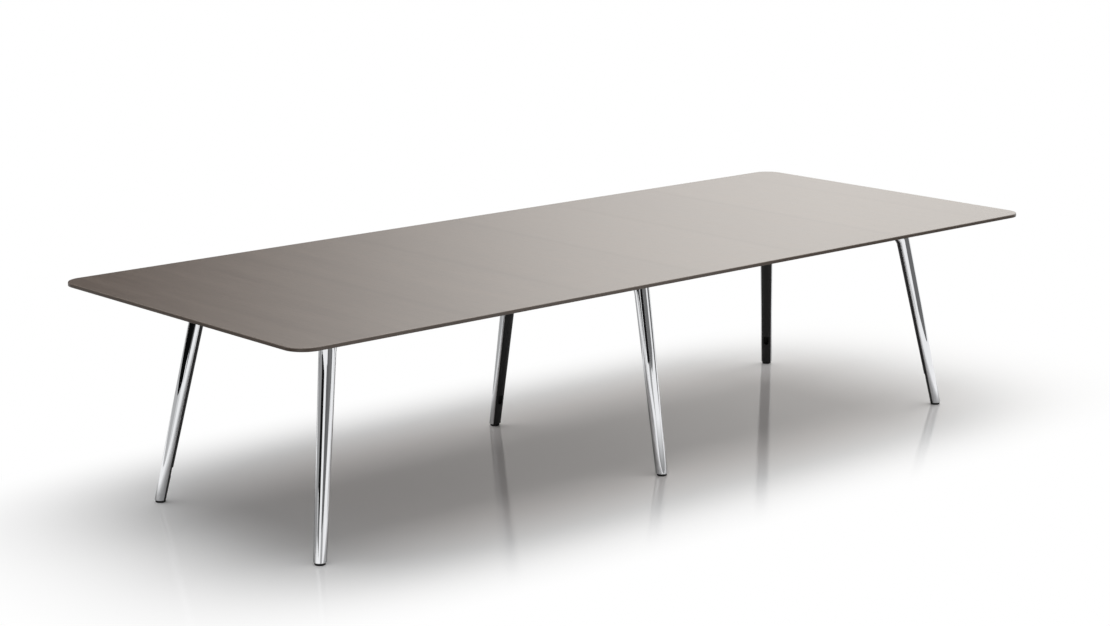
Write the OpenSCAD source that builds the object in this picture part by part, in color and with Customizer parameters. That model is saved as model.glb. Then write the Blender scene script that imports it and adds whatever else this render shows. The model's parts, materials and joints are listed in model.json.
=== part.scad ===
// Conference table on six splayed legs, with a bolted underframe and levelling glides.
// Millimetres, +X along the table, +Y to its back, +Z up, floor at zero.

/* [Top] */
// Length of the top
top_length = 3300; // [2600:10:4200]
// Width of the top
top_width = 1300; // [1100:10:1600]
// Height of the top surface above the floor
table_height = 735; // [690:1:780]
// Thickness of the top through its middle
top_thickness = 25; // [22:0.5:32]
// Height of the vertical edge that shows
edge_height = 12; // [8:0.5:16]
// How far the bevel runs in under the edge
bevel_run = 58; // [20:1:60]
// Radius of the corners in plan
corner_radius = 70; // [65:1:150]
// Thickness of the decorative veneer
veneer_thickness = 0.8; // [0.5:0.1:1.5]
// Thickness of the balancing sheet underneath
backing_thickness = 0.8; // [0.5:0.1:1.5]
// Thickness of the edge band
band_thickness = 2; // [1:0.1:4]

/* [Legs] */
// Distance from the ends and the sides of the top to the middle of a foot
foot_inset = 214; // [180:1:260]
// Rake of the corner legs toward the ends, in degrees
end_rake = 10; // [7:0.1:12]
// Rake of the corner legs toward the sides, in degrees
side_rake = 8.2; // [6:0.1:11]
// Rake of the middle legs toward the sides, in degrees
middle_rake = 9.5; // [7:0.1:11]
// Diameter of a leg at the floor
leg_foot_d = 41; // [38:0.5:48]
// Diameter of a leg where it bends inward
leg_head_d = 54; // [50:0.5:60]
// Radius of the bend, at the middle of the leg
bend_radius = 60; // [50:1:80]
// Depth of the flat for the cover, as a share of the leg's radius from its axis
flat_share = 0.5; // [0.45:0.01:0.6]
// Length of the horizontal arm of a middle leg, from its bend to its bolting wing
arm_reach = 30; // [15:1:60]
// Width of the arm
arm_width = 32; // [24:1:34]
// Height of the arm
arm_height = 32; // [24:1:33]
// How far the arm reaches back into the bend
arm_overlap = 4; // [2:0.5:5]
// Height of the axis of the arm above the bottom of the rails
arm_rise = 12; // [10:0.5:14]

/* [Cable channel and covers] */
// Diameter of the cable channel
channel_d = 26; // [18:0.5:28]
// Distance from the axis of the leg to the axis of the channel
channel_offset = 12; // [11:0.5:14]
// Height of the lower end of the cover above the floor
cover_bottom = 121; // [110:1:200]
// Height of the cable outlet, from the end of the cover down
outlet_height = 35; // [28:1:44]
// Width of the cable outlet
outlet_width = 20; // [14:0.5:24]
// How far the channel runs on below the outlet
channel_run_on = 5; // [3:0.5:10]
// Height of the cover's crown from the axis, as a share of the leg's radius
crown_share = 0.82; // [0.75:0.01:0.9]
// Height of the foot cover's crown from the axis, as a share of the leg's radius
foot_crown_share = 0.74; // [0.7:0.01:0.8]
// Half width of the covers, as a share of the leg's radius
cover_share = 0.84; // [0.78:0.01:0.85]
// Clearance between a cover and its seat
cover_gap = 0.2; // [0.1:0.05:0.4]
// Part of the bend that the cable entry leaves open, in degrees
entry_angle = 30; // [20:1:40]
// Number of snap lugs on a cover
lug_count = 4; // [2:1:8]
// Length of a snap lug along the leg
lug_length = 12; // [6:1:24]
// Depth of a snap lug below the flat
lug_depth = 6; // [3:0.5:8]
// Clearance between a snap lug and each side of the channel
lug_clearance = 2; // [1:0.5:4]
// Diameter of the peg that holds a foot cover
peg_d = 4; // [3:0.5:5]
// Depth of that peg in the leg
peg_depth = 5; // [3:0.5:6]

/* [Frame] */
// Height of the rails
rail_height = 60; // [50:1:70]
// Width of the rails
rail_width = 30; // [25:1:40]
// Wall of the rails
rail_wall = 2; // [1.5:0.1:4]
// Outer corner radius of the rails
rail_radius = 4; // [3:0.5:6]
// Thickness of the welded end plates
plate_thickness = 5; // [3:0.5:8]
// Margin of the end plates below the top and above the bottom of the rails
plate_margin = 3; // [2:0.5:6]
// Length of the end plates at the corners
corner_plate_length = 124; // [115:1:160]
// Length of the end plates of the middle cross rail
middle_plate_length = 132; // [126:1:160]
// Thickness of the bolting wings
wing_thickness = 8; // [6:0.5:12]
// Length of a corner leg's wing, from the corner of the frame
corner_wing_length = 124; // [118:1:160]
// Length of a middle leg's wing
middle_wing_length = 140; // [130:1:180]
// Gap between the wings and the underside of the top
wing_gap = 2; // [1:0.5:5]
// Corner radius of the wings
wing_radius = 10; // [5:0.5:15]

/* [Fasteners] */
// Diameter of the leg bolts
bolt_d = 8; // [6:0.5:9]
// Diameter of their heads
bolt_head_d = 13; // [11:0.5:16]
// Height of their heads
bolt_head_h = 8; // [5:0.5:10]
// Size of the hexagon socket in a bolt, across corners
bolt_socket_d = 6.9; // [5:0.1:8]
// Depth of that socket
bolt_socket_depth = 4; // [3:0.5:4.5]
// Clearance of a bolt in its hole, on the diameter
bolt_clearance = 1; // [0.5:0.1:1.5]
// Clearance of a nut on its bolt, on the diameter
thread_clearance = 0.1; // [0.05:0.01:0.2]
// Size of the nuts across corners
nut_d = 15; // [13:0.5:18]
// Height of the nuts
nut_h = 6.5; // [5:0.5:9]
// Diameter of the washers
washer_d = 16; // [15:0.5:20]
// Thickness of the washers
washer_h = 1.6; // [1:0.1:2.5]
// How far a bolt stands out of its nut
bolt_stand_out = 3; // [1:0.5:6]
// First bolt of a corner wing, from the corner of the frame
near_bolt = 68; // [62:1:74]
// Second bolt of a corner wing, from the corner of the frame
far_bolt = 104; // [98:1:108]
// Distance of a middle leg's bolts from its own plane
middle_bolt_x = 52; // [46:1:54]
// Distance of a middle leg's bolts above and below the middle of the rails
middle_bolt_z = 14; // [11:1:16]
// Diameter of the screws that hold the top
screw_d = 6; // [4:0.5:7]
// Diameter of their heads
screw_head_d = 11; // [9:0.5:13]
// Height of their heads
screw_head_h = 4; // [2:0.5:6]
// Length of those screws under the head
screw_length = 15; // [12:0.5:17]
// Size of the hexagon socket in a screw, across corners
screw_socket_d = 4.6; // [3:0.1:5]
// Depth of that socket
screw_socket_depth = 2.5; // [1:0.5:3]
// Clearance of a screw in the rail, on the diameter
screw_clearance = 1; // [0.5:0.1:1.5]
// Diameter of the access holes under the screws
access_d = 15; // [14:0.5:18]
// Number of screws along each side rail
screw_count = 6; // [4:2:10]
// Distance from the end of a side rail to its first screw
screw_end_gap = 250; // [150:5:350]
// Diameter of the threaded inserts
insert_d = 10; // [8.5:0.5:12]
// Length of the threaded inserts
insert_length = 16; // [14:0.5:18]
// Thickness of the closed end of an insert
insert_cap = 1; // [0.5:0.1:2]
// Clearance around an insert or a bush, on the diameter
insert_clearance = 0.1; // [0.05:0.01:0.2]

/* [Levelling glides] */
// Diameter of a glide's pad
pad_d = 34; // [28:0.5:40]
// Height of the pad
pad_h = 7; // [6.5:0.5:10]
// Chamfer at the bottom of the pad
pad_chamfer = 1.5; // [0.5:0.1:2]
// Thickness of the pad under the stem
pad_floor = 2.4; // [1.5:0.1:3]
// Gap between the pad and the leg when the glide is screwed right in
glide_gap = 1; // [0.5:0.1:3]
// Diameter of the threaded stem
stem_d = 10; // [8:0.5:11]
// Height of the top of the stem above the floor
stem_top = 40; // [34:1:46]
// Diameter of the disc at the bottom of the stem
disc_d = 18; // [14:0.5:20]
// Thickness of that disc
disc_h = 2.4; // [1.5:0.1:3]
// Clearance between the stem and its pad, all round
swivel_gap = 0.3; // [0.2:0.05:0.5]
// Clearance between the stem and its bush, on the diameter
stem_clearance = 0.1; // [0.04:0.01:0.2]
// Diameter of the bush
bush_d = 16; // [14:0.5:17]
// Length of the bush
bush_length = 26; // [20:1:28]
// Room above the stem, in the leg
stem_room = 3; // [1:0.5:5]
// Size of the hexagon socket in the top of the stem, across corners
stem_socket_d = 5.8; // [4:0.1:6]
// Depth of that socket
stem_socket_depth = 6; // [3:0.5:8]

/* [Hidden] */
$fn = 96;
cut = 1;
board_colour = [0.24, 0.2, 0.18];
veneer_colour = [0.41, 0.37, 0.34];
edge_colour = [0.25, 0.21, 0.19];
backing_colour = [0.2, 0.19, 0.18];
leg_colour = [0.85, 0.86, 0.88];
cover_colour = [0.07, 0.07, 0.07];
rail_colour = [0.16, 0.16, 0.17];
steel_colour = [0.62, 0.63, 0.65];

// Heights
underside = table_height - top_thickness;
core_top = table_height - veneer_thickness;
core_bottom = underside + backing_thickness;
edge_bottom = table_height - edge_height;
rail_middle = underside - rail_height / 2;
rail_bottom = underside - rail_height;
arm_z = rail_bottom + arm_rise;
wing_height = rail_height - wing_gap;
leg_bottom = pad_h + glide_gap;
outlet_bottom = cover_bottom - outlet_height;
channel_bottom = outlet_bottom - channel_run_on;

// Plan
core_length = top_length - 2 * band_thickness;
core_width = top_width - 2 * band_thickness;
core_radius = corner_radius - band_thickness;
foot_x = top_length / 2 - foot_inset;
foot_y = top_width / 2 - foot_inset;
end_lean = atan(norm([tan(end_rake), tan(side_rake)]));
end_azimuth = atan2(tan(side_rake), tan(end_rake));

// The bend of a leg of a given lean, in its own upright plane
foot_r = leg_foot_d / 2;
head_r = leg_head_d / 2;
bend_centre_z = arm_z - bend_radius;
function lean_of(sx) = sx == 0 ? middle_rake : end_lean;
function bend_z(lean) = bend_centre_z + bend_radius * sin(lean);
function shaft_length(lean) = bend_z(lean) / cos(lean);
function bend_reach(lean) = bend_z(lean) * tan(lean) + bend_radius * cos(lean);
function radius_at(s, lean) = foot_r + (head_r - foot_r) * s / shaft_length(lean);

// The frame's outer faces: the middle legs set its width, and the corner legs' arms point at its corners
frame_y = foot_y - bend_reach(middle_rake) - arm_reach - wing_thickness;
corner_reach = (foot_y - frame_y) / sin(end_azimuth);
frame_x = foot_x - corner_reach * cos(end_azimuth);
inner_y = frame_y - rail_width;
cross_half = inner_y - plate_thickness;
rail_y = frame_y - rail_width / 2;
rail_x = frame_x - rail_width / 2;
corner_bolts = [near_bolt, far_bolt];

// The round face of a cover with a given crown: its radius and its axis, as shares of the leg's radius
function face_share(crown) = (pow(cover_share, 2) / (crown - flat_share) + crown - flat_share) / 2;
function face_axis(crown) = crown - face_share(crown);

screw_step = 2 * (frame_x - screw_end_gap) / (screw_count - 1);

// A rectangle with round corners
module rounded_rect(length, width, radius) {
    square([length - 2 * radius, width], center = true);
    square([length, width - 2 * radius], center = true);
    for (sx = [-1, 1], sy = [-1, 1])
        translate([sx * (length / 2 - radius), sy * (width / 2 - radius)])
            circle(r = radius);
}

// Puts what is drawn for the back right of the table at another side of it
module quarter(sx, sy) {
    mirror([sx < 0 ? 1 : 0, 0, 0])
        mirror([0, sy < 0 ? 1 : 0, 0])
            children();
}

// The upright frame of a leg: origin on the floor under the foot, +Y toward the middle of the table
module upright(sx, sy) {
    quarter(sx, sy)
        translate([abs(sx) * foot_x, foot_y, 0])
            rotate([0, 0, sx == 0 ? 180 : 90 + end_azimuth])
                children();
}

// The leaning frame of a leg: +Z along its axis
module leaning(sx, sy) {
    upright(sx, sy)
        rotate([-lean_of(sx), 0, 0])
            children();
}

// An outline in the leg's leaning plane, drawn as [inward, along], through the whole leg
module across(outline) {
    rotate([90, 0, 90])
        linear_extrude(height = 2 * leg_head_d, center = true)
            polygon(outline);
}

// Sweeps a profile, drawn as [inward, across], round the bend
module round_bend(lean, angle) {
    translate([0, bend_radius, shaft_length(lean)])
        rotate([90, 0, -90])
            rotate_extrude(angle = angle)
                translate([bend_radius, 0])
                    mirror([1, 0])
                        children();
}

// The top

// Trapezoid bar of the board, from side to side or from end to end
module board_bar(half, length) {
    rotate([90, 0, 90])
        linear_extrude(height = length, center = true)
            polygon([
                [-half, core_top], [half, core_top], [half, edge_bottom],
                [half - bevel_run, core_bottom], [bevel_run - half, core_bottom], [-half, edge_bottom]
            ]);
}

module board() {
    board_bar(core_width / 2, core_length - 2 * core_radius);
    rotate([0, 0, 90])
        board_bar(core_length / 2, core_width - 2 * core_radius);
    for (sx = [-1, 1], sy = [-1, 1])
        translate([sx * (core_length / 2 - core_radius), sy * (core_width / 2 - core_radius), 0]) {
            translate([0, 0, core_bottom])
                cylinder(h = edge_bottom - core_bottom, r1 = core_radius - bevel_run, r2 = core_radius);
            translate([0, 0, edge_bottom])
                cylinder(h = core_top - edge_bottom, r = core_radius);
        }
}

module at_top_screws() {
    for (sy = [-1, 1], i = [0 : screw_count - 1])
        translate([(i - (screw_count - 1) / 2) * screw_step, sy * rail_y, underside])
            children();
    for (sx = [-1, 0, 1])
        translate([sx * rail_x, 0, underside])
            children();
}

module tabletop_core() {
    color(board_colour)
        difference() {
            board();
            at_top_screws()
                translate([0, 0, -cut])
                    cylinder(h = insert_length + cut, d = insert_d + insert_clearance);
        }
}

module tabletop_veneer() {
    color(veneer_colour)
        translate([0, 0, core_top])
            linear_extrude(height = veneer_thickness)
                rounded_rect(core_length, core_width, core_radius);
}

module edge_band() {
    color(edge_colour)
        translate([0, 0, edge_bottom])
            linear_extrude(height = edge_height)
                difference() {
                    rounded_rect(top_length, top_width, corner_radius);
                    rounded_rect(core_length, core_width, core_radius);
                }
}

module backing_sheet() {
    color(backing_colour)
        difference() {
            translate([0, 0, underside])
                linear_extrude(height = backing_thickness)
                    rounded_rect(
                        core_length - 2 * bevel_run, core_width - 2 * bevel_run, core_radius - bevel_run
                    );
            at_top_screws()
                translate([0, 0, -cut])
                    cylinder(h = backing_thickness + 2 * cut, d = insert_d + insert_clearance);
        }
}

module top_inserts() {
    color(steel_colour)
        at_top_screws()
            difference() {
                cylinder(h = insert_length, d = insert_d);
                translate([0, 0, -cut])
                    cylinder(h = insert_length - insert_cap + cut, d = screw_d + thread_clearance);
            }
}

module top_screws() {
    color(steel_colour)
        at_top_screws()
            translate([0, 0, -rail_wall])
                difference() {
                    union() {
                        cylinder(h = screw_length, d = screw_d);
                        translate([0, 0, -screw_head_h])
                            cylinder(h = screw_head_h, d = screw_head_d);
                    }
                    translate([0, 0, -screw_head_h - cut])
                        cylinder(h = screw_socket_depth + cut, d = screw_socket_d, $fn = 6);
                }
}

// The frame

// Bolts through the side rails, pointing out of the frame from its outer face
module at_side_bolts() {
    for (sx = [-1, 1], sy = [-1, 1]) {
        for (x = corner_bolts)
            translate([sx * (frame_x - x), sy * frame_y, rail_middle])
                rotate([-90 * sy, 0, 0])
                    children();
        for (sz = [-1, 1])
            translate([sx * middle_bolt_x, sy * frame_y, rail_middle + sz * middle_bolt_z])
                rotate([-90 * sy, 0, 0])
                    children();
    }
}

// Bolts through the end cross rails
module at_end_bolts() {
    for (sx = [-1, 1], sy = [-1, 1], y = corner_bolts)
        translate([sx * frame_x, sy * (frame_y - y), rail_middle])
            rotate([0, 90 * sx, 0])
                children();
}

// A hole for one of those bolts, through a wing, a rail and an end plate
module bolt_hole() {
    through = rail_width + plate_thickness + cut;
    translate([0, 0, -through])
        cylinder(h = through + wing_thickness + cut, d = bolt_d + bolt_clearance);
}

// A rail along X, around the middle of its own box
module rail_tube(length) {
    rotate([90, 0, 90])
        linear_extrude(height = length, center = true)
            difference() {
                rounded_rect(rail_width, rail_height, rail_radius);
                rounded_rect(rail_width - 2 * rail_wall, rail_height - 2 * rail_wall, rail_radius - rail_wall);
            }
}

module screw_holes() {
    at_top_screws() {
        translate([0, 0, -rail_wall - cut])
            cylinder(h = rail_wall + 2 * cut, d = screw_d + screw_clearance);
        translate([0, 0, -rail_height - cut])
            cylinder(h = rail_wall + 2 * cut, d = access_d);
    }
}

module side_rail(sy) {
    difference() {
        translate([0, sy * rail_y, rail_middle])
            rail_tube(2 * frame_x);
        at_side_bolts()
            bolt_hole();
        screw_holes();
    }
}

// A cross rail with its two end plates, each from one edge along X
module cross_rail(x, plate_from, plate_length) {
    difference() {
        union() {
            translate([x, 0, rail_middle])
                rotate([0, 0, 90])
                    rail_tube(2 * cross_half);
            for (sy = [-1, 1])
                translate([
                    plate_from,
                    sy * (cross_half + plate_thickness / 2) - plate_thickness / 2,
                    rail_bottom + plate_margin
                ])
                    cube([plate_length, plate_thickness, rail_height - 2 * plate_margin]);
        }
        at_side_bolts()
            bolt_hole();
        at_end_bolts()
            bolt_hole();
        screw_holes();
    }
}

module side_rail_front() {
    color(rail_colour) side_rail(-1);
}

module side_rail_back() {
    color(rail_colour) side_rail(1);
}

module cross_rail_left() {
    color(rail_colour) cross_rail(-rail_x, -frame_x, corner_plate_length);
}

module cross_rail_middle() {
    color(rail_colour) cross_rail(0, -middle_plate_length / 2, middle_plate_length);
}

module cross_rail_right() {
    color(rail_colour) cross_rail(rail_x, frame_x - corner_plate_length, corner_plate_length);
}

// A bolt whose nut bears on what lies this deep behind the outer face of the frame
module bolt(depth) {
    tail = depth + washer_h + nut_h + bolt_stand_out;
    difference() {
        union() {
            translate([0, 0, -tail])
                cylinder(h = tail + wing_thickness + cut, d = bolt_d);
            translate([0, 0, wing_thickness])
                cylinder(h = bolt_head_h, d = bolt_head_d);
        }
        translate([0, 0, wing_thickness + bolt_head_h - bolt_socket_depth])
            cylinder(h = bolt_socket_depth + cut, d = bolt_socket_d, $fn = 6);
    }
}

// A nut or a washer, from this depth inward
module ring(depth, height, diameter, sides, bore) {
    translate([0, 0, -depth - height])
        difference() {
            cylinder(h = height, d = diameter, $fn = sides);
            translate([0, 0, -cut])
                cylinder(h = height + 2 * cut, d = bore);
        }
}

module leg_bolts() {
    color(steel_colour) {
        at_side_bolts() bolt(rail_width + plate_thickness);
        at_end_bolts() bolt(rail_width);
    }
}

module leg_washers() {
    bore = bolt_d + bolt_clearance / 2;
    color(steel_colour) {
        at_side_bolts() ring(rail_width + plate_thickness, washer_h, washer_d, $fn, bore);
        at_end_bolts() ring(rail_width, washer_h, washer_d, $fn, bore);
    }
}

module leg_nuts() {
    bore = bolt_d + thread_clearance;
    color(steel_colour) {
        at_side_bolts() ring(rail_width + plate_thickness + washer_h, nut_h, nut_d, 6, bore);
        at_end_bolts() ring(rail_width + washer_h, nut_h, nut_d, 6, bore);
    }
}

// The legs

// The leg's section at its head, drawn as [inward, across]
module head_profile() {
    difference() {
        circle(r = head_r);
        translate([flat_share * head_r, -leg_head_d])
            square(2 * leg_head_d);
        translate([channel_offset, 0])
            circle(d = channel_d);
    }
}

// The tapered shaft and its bend, in the leaning frame
module bent_shaft(lean) {
    length = shaft_length(lean);
    channel_start = channel_bottom / cos(lean);
    difference() {
        cylinder(h = length, r1 = foot_r, r2 = head_r);
        across([
            [flat_share * foot_r, 0], [flat_share * head_r, length],
            [leg_head_d, length + cut], [leg_head_d, -leg_head_d],
            [flat_share * foot_r - cut * flat_share * (head_r - foot_r) / length, -cut]
        ]);
        translate([0, channel_offset, channel_start])
            cylinder(h = length - channel_start + cut, d = channel_d);
    }
    round_bend(lean, 90 - lean)
        head_profile();
}

// The arm from the bend to the frame, in the upright frame
module arm(lean, reach) {
    start = bend_reach(lean) - arm_overlap;
    translate([-arm_width / 2, start, rail_bottom])
        cube([arm_width, reach - start, arm_height]);
}

// A wing's outline, from the frame's corner to its rounded free end
module wing_outline(length) {
    square([length - wing_radius, wing_height]);
    translate([0, wing_radius])
        square([length, wing_height - 2 * wing_radius]);
    for (z = [wing_radius, wing_height - wing_radius])
        translate([length - wing_radius, z])
            circle(r = wing_radius);
}

// Wings of a corner leg, around the back right corner of the frame
module corner_wings() {
    translate([frame_x + wing_thickness, frame_y + wing_thickness, rail_bottom]) {
        translate([0, -wing_thickness, 0])
            rotate([90, 0, 180])
                linear_extrude(height = wing_thickness)
                    wing_outline(corner_wing_length + wing_thickness);
        rotate([90, 0, -90])
            linear_extrude(height = wing_thickness)
                wing_outline(corner_wing_length + wing_thickness);
    }
}

// Wing of the back middle leg
module middle_wing() {
    translate([0, frame_y + wing_thickness, rail_bottom + wing_height / 2])
        rotate([90, 0, 0])
            linear_extrude(height = wing_thickness)
                rounded_rect(middle_wing_length, wing_height, wing_radius);
}

// Where the peg of a foot cover goes, in the leaning frame
module at_peg(lean) {
    s = (leg_bottom + channel_bottom) / 2 / cos(lean);
    translate([0, flat_share * radius_at(s, lean), s])
        rotate([90, 0, 0])
            children();
}

module leg(sx, sy) {
    lean = lean_of(sx);
    difference() {
        union() {
            leaning(sx, sy)
                bent_shaft(lean);
            upright(sx, sy)
                arm(lean, sx == 0 ? foot_y - frame_y : corner_reach);
            quarter(sx, sy)
                if (sx == 0) middle_wing();
                else corner_wings();
        }
        translate([-frame_x, -frame_y, 0])
            cube([2 * frame_x, 2 * frame_y, table_height]);
        at_side_bolts()
            bolt_hole();
        at_end_bolts()
            bolt_hole();
        upright(sx, sy) {
            translate([-leg_head_d, -leg_head_d, -leg_head_d])
                cube([2 * leg_head_d, 2 * leg_head_d, leg_head_d + leg_bottom]);
            translate([0, 0, leg_bottom - cut])
                cylinder(h = bush_length + cut, d = bush_d + insert_clearance);
            cylinder(h = stem_top + stem_room, d = stem_d + 2 * stem_clearance);
        }
        leaning(sx, sy)
            at_peg(lean)
                translate([0, 0, -cut])
                    cylinder(h = peg_depth + 2 * cut, d = peg_d + 2 * cover_gap);
    }
}

// The covers

// The round face of a straight cover between two places along the leg, in the leaning frame
module cover_bar(lean, from, to, crown) {
    low = from - cut;
    high = to + cut;
    r0 = radius_at(low, lean);
    r1 = radius_at(high, lean);
    face = face_share(crown);
    axis = face_axis(crown);
    tilt = atan(axis * (r1 - r0) / (high - low));
    reach = leg_head_d;
    difference() {
        translate([0, axis * r0, low])
            rotate([-tilt, 0, 0])
                cylinder(h = (high - low) / cos(tilt), r1 = face * r0, r2 = face * r1);
        across([
            [flat_share * r0 + cover_gap, low], [flat_share * r1 + cover_gap, high],
            [-2 * reach, high + cut], [-2 * reach, low - cut]
        ]);
        translate([-reach, -reach, to])
            cube([2 * reach, 2 * reach, reach]);
        translate([-reach, -reach, from - reach])
            cube([2 * reach, 2 * reach, reach]);
    }
}

module leg_cover(sx, sy) {
    lean = lean_of(sx);
    from = cover_bottom / cos(lean);
    to = shaft_length(lean) - cover_gap;
    step = (to - from) / lug_count;
    lug_half = channel_d / 2 - lug_clearance;
    color(cover_colour)
        leaning(sx, sy) {
            cover_bar(lean, from, to, crown_share);
            for (i = [0 : lug_count - 1]) {
                s = from + (i + 0.5) * step;
                seat = flat_share * radius_at(s, lean);
                translate([-lug_half, seat - lug_depth, s - lug_length / 2])
                    cube([2 * lug_half, lug_depth + cut, lug_length]);
            }
        }
}

// The curved end, in the leg's leaning frame
module bend_cover(sx, sy) {
    lean = lean_of(sx);
    seat = flat_share * head_r + cover_gap;
    color(cover_colour)
        leaning(sx, sy)
            round_bend(lean, 90 - lean - entry_angle)
                intersection() {
                    translate([face_axis(crown_share) * head_r, 0])
                        circle(r = face_share(crown_share) * head_r);
                    translate([seat, -leg_head_d])
                        square(2 * leg_head_d);
                }
}

// The outlet for cables at the top of a foot cover, in the leaning frame
module cable_outlet(lean) {
    translate([0, 0, outlet_bottom / cos(lean) + outlet_width / 2]) {
        rotate([-90, 0, 0])
            cylinder(h = leg_head_d, d = outlet_width);
        translate([-outlet_width / 2, 0, 0])
            cube([outlet_width, leg_head_d, outlet_height]);
    }
}

module foot_cover(sx, sy) {
    lean = lean_of(sx);
    color(cover_colour)
        difference() {
            leaning(sx, sy) {
                cover_bar(lean, 0, cover_bottom / cos(lean) - cover_gap, foot_crown_share);
                at_peg(lean)
                    translate([0, 0, -cut])
                        cylinder(h = peg_depth + cut, d = peg_d);
            }
            leaning(sx, sy)
                cable_outlet(lean);
            upright(sx, sy)
                translate([-leg_head_d, -leg_head_d, -leg_head_d])
                    cube([2 * leg_head_d, 2 * leg_head_d, leg_head_d + leg_bottom]);
        }
}

// The levelling glides

module glide_bushes() {
    color(steel_colour)
        for (sx = [-1, 0, 1], sy = [-1, 1])
            upright(sx, sy)
                translate([0, 0, leg_bottom])
                    difference() {
                        cylinder(h = bush_length, d = bush_d);
                        translate([0, 0, -cut])
                            cylinder(h = bush_length + 2 * cut, d = stem_d + stem_clearance);
                    }
}

module glide_stem(sx, sy) {
    disc_bottom = pad_floor + swivel_gap;
    color(steel_colour)
        upright(sx, sy)
            difference() {
                union() {
                    translate([0, 0, disc_bottom])
                        cylinder(h = disc_h, d = disc_d);
                    translate([0, 0, disc_bottom])
                        cylinder(h = stem_top - disc_bottom, d = stem_d);
                }
                translate([0, 0, stem_top - stem_socket_depth])
                    cylinder(h = stem_socket_depth + cut, d = stem_socket_d, $fn = 6);
            }
}

module glide_pad(sx, sy) {
    color(cover_colour)
        upright(sx, sy)
            difference() {
                union() {
                    cylinder(h = pad_chamfer, d1 = pad_d - 2 * pad_chamfer, d2 = pad_d);
                    translate([0, 0, pad_chamfer])
                        cylinder(h = pad_h - pad_chamfer, d = pad_d);
                }
                translate([0, 0, pad_floor])
                    cylinder(h = disc_h + 2 * swivel_gap, d = disc_d + 2 * swivel_gap);
                translate([0, 0, pad_floor])
                    cylinder(h = pad_h, d = stem_d + 2 * swivel_gap);
            }
}

module leg_front_left() { color(leg_colour) leg(-1, -1); }
module leg_front_middle() { color(leg_colour) leg(0, -1); }
module leg_front_right() { color(leg_colour) leg(1, -1); }
module leg_back_left() { color(leg_colour) leg(-1, 1); }
module leg_back_middle() { color(leg_colour) leg(0, 1); }
module leg_back_right() { color(leg_colour) leg(1, 1); }

module leg_cover_front_left() { leg_cover(-1, -1); }
module leg_cover_front_middle() { leg_cover(0, -1); }
module leg_cover_front_right() { leg_cover(1, -1); }
module leg_cover_back_left() { leg_cover(-1, 1); }
module leg_cover_back_middle() { leg_cover(0, 1); }
module leg_cover_back_right() { leg_cover(1, 1); }

module bend_cover_front_left() { bend_cover(-1, -1); }
module bend_cover_front_middle() { bend_cover(0, -1); }
module bend_cover_front_right() { bend_cover(1, -1); }
module bend_cover_back_left() { bend_cover(-1, 1); }
module bend_cover_back_middle() { bend_cover(0, 1); }
module bend_cover_back_right() { bend_cover(1, 1); }

module foot_cover_front_left() { foot_cover(-1, -1); }
module foot_cover_front_middle() { foot_cover(0, -1); }
module foot_cover_front_right() { foot_cover(1, -1); }
module foot_cover_back_left() { foot_cover(-1, 1); }
module foot_cover_back_middle() { foot_cover(0, 1); }
module foot_cover_back_right() { foot_cover(1, 1); }

module glide_stem_front_left() { glide_stem(-1, -1); }
module glide_stem_front_middle() { glide_stem(0, -1); }
module glide_stem_front_right() { glide_stem(1, -1); }
module glide_stem_back_left() { glide_stem(-1, 1); }
module glide_stem_back_middle() { glide_stem(0, 1); }
module glide_stem_back_right() { glide_stem(1, 1); }

module glide_pad_front_left() { glide_pad(-1, -1); }
module glide_pad_front_middle() { glide_pad(0, -1); }
module glide_pad_front_right() { glide_pad(1, -1); }
module glide_pad_back_left() { glide_pad(-1, 1); }
module glide_pad_back_middle() { glide_pad(0, 1); }
module glide_pad_back_right() { glide_pad(1, 1); }

tabletop_core();
tabletop_veneer();
edge_band();
backing_sheet();
top_inserts();
top_screws();
side_rail_front();
side_rail_back();
cross_rail_left();
cross_rail_middle();
cross_rail_right();
leg_bolts();
leg_washers();
leg_nuts();
glide_bushes();
leg_front_left();
leg_front_middle();
leg_front_right();
leg_back_left();
leg_back_middle();
leg_back_right();
leg_cover_front_left();
leg_cover_front_middle();
leg_cover_front_right();
leg_cover_back_left();
leg_cover_back_middle();
leg_cover_back_right();
bend_cover_front_left();
bend_cover_front_middle();
bend_cover_front_right();
bend_cover_back_left();
bend_cover_back_middle();
bend_cover_back_right();
foot_cover_front_left();
foot_cover_front_middle();
foot_cover_front_right();
foot_cover_back_left();
foot_cover_back_middle();
foot_cover_back_right();
glide_stem_front_left();
glide_stem_front_middle();
glide_stem_front_right();
glide_stem_back_left();
glide_stem_back_middle();
glide_stem_back_right();
glide_pad_front_left();
glide_pad_front_middle();
glide_pad_front_right();
glide_pad_back_left();
glide_pad_back_middle();
glide_pad_back_right();
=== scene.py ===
"""Conference table: the looks of its top, legs, covers, glides and frame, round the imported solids."""
import json
import math

import bmesh
import bpy
from bpy.props import FloatProperty, FloatVectorProperty, IntProperty, PointerProperty
from mathutils import Matrix, Vector
from mathutils.geometry import tessellate_polygon

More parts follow.
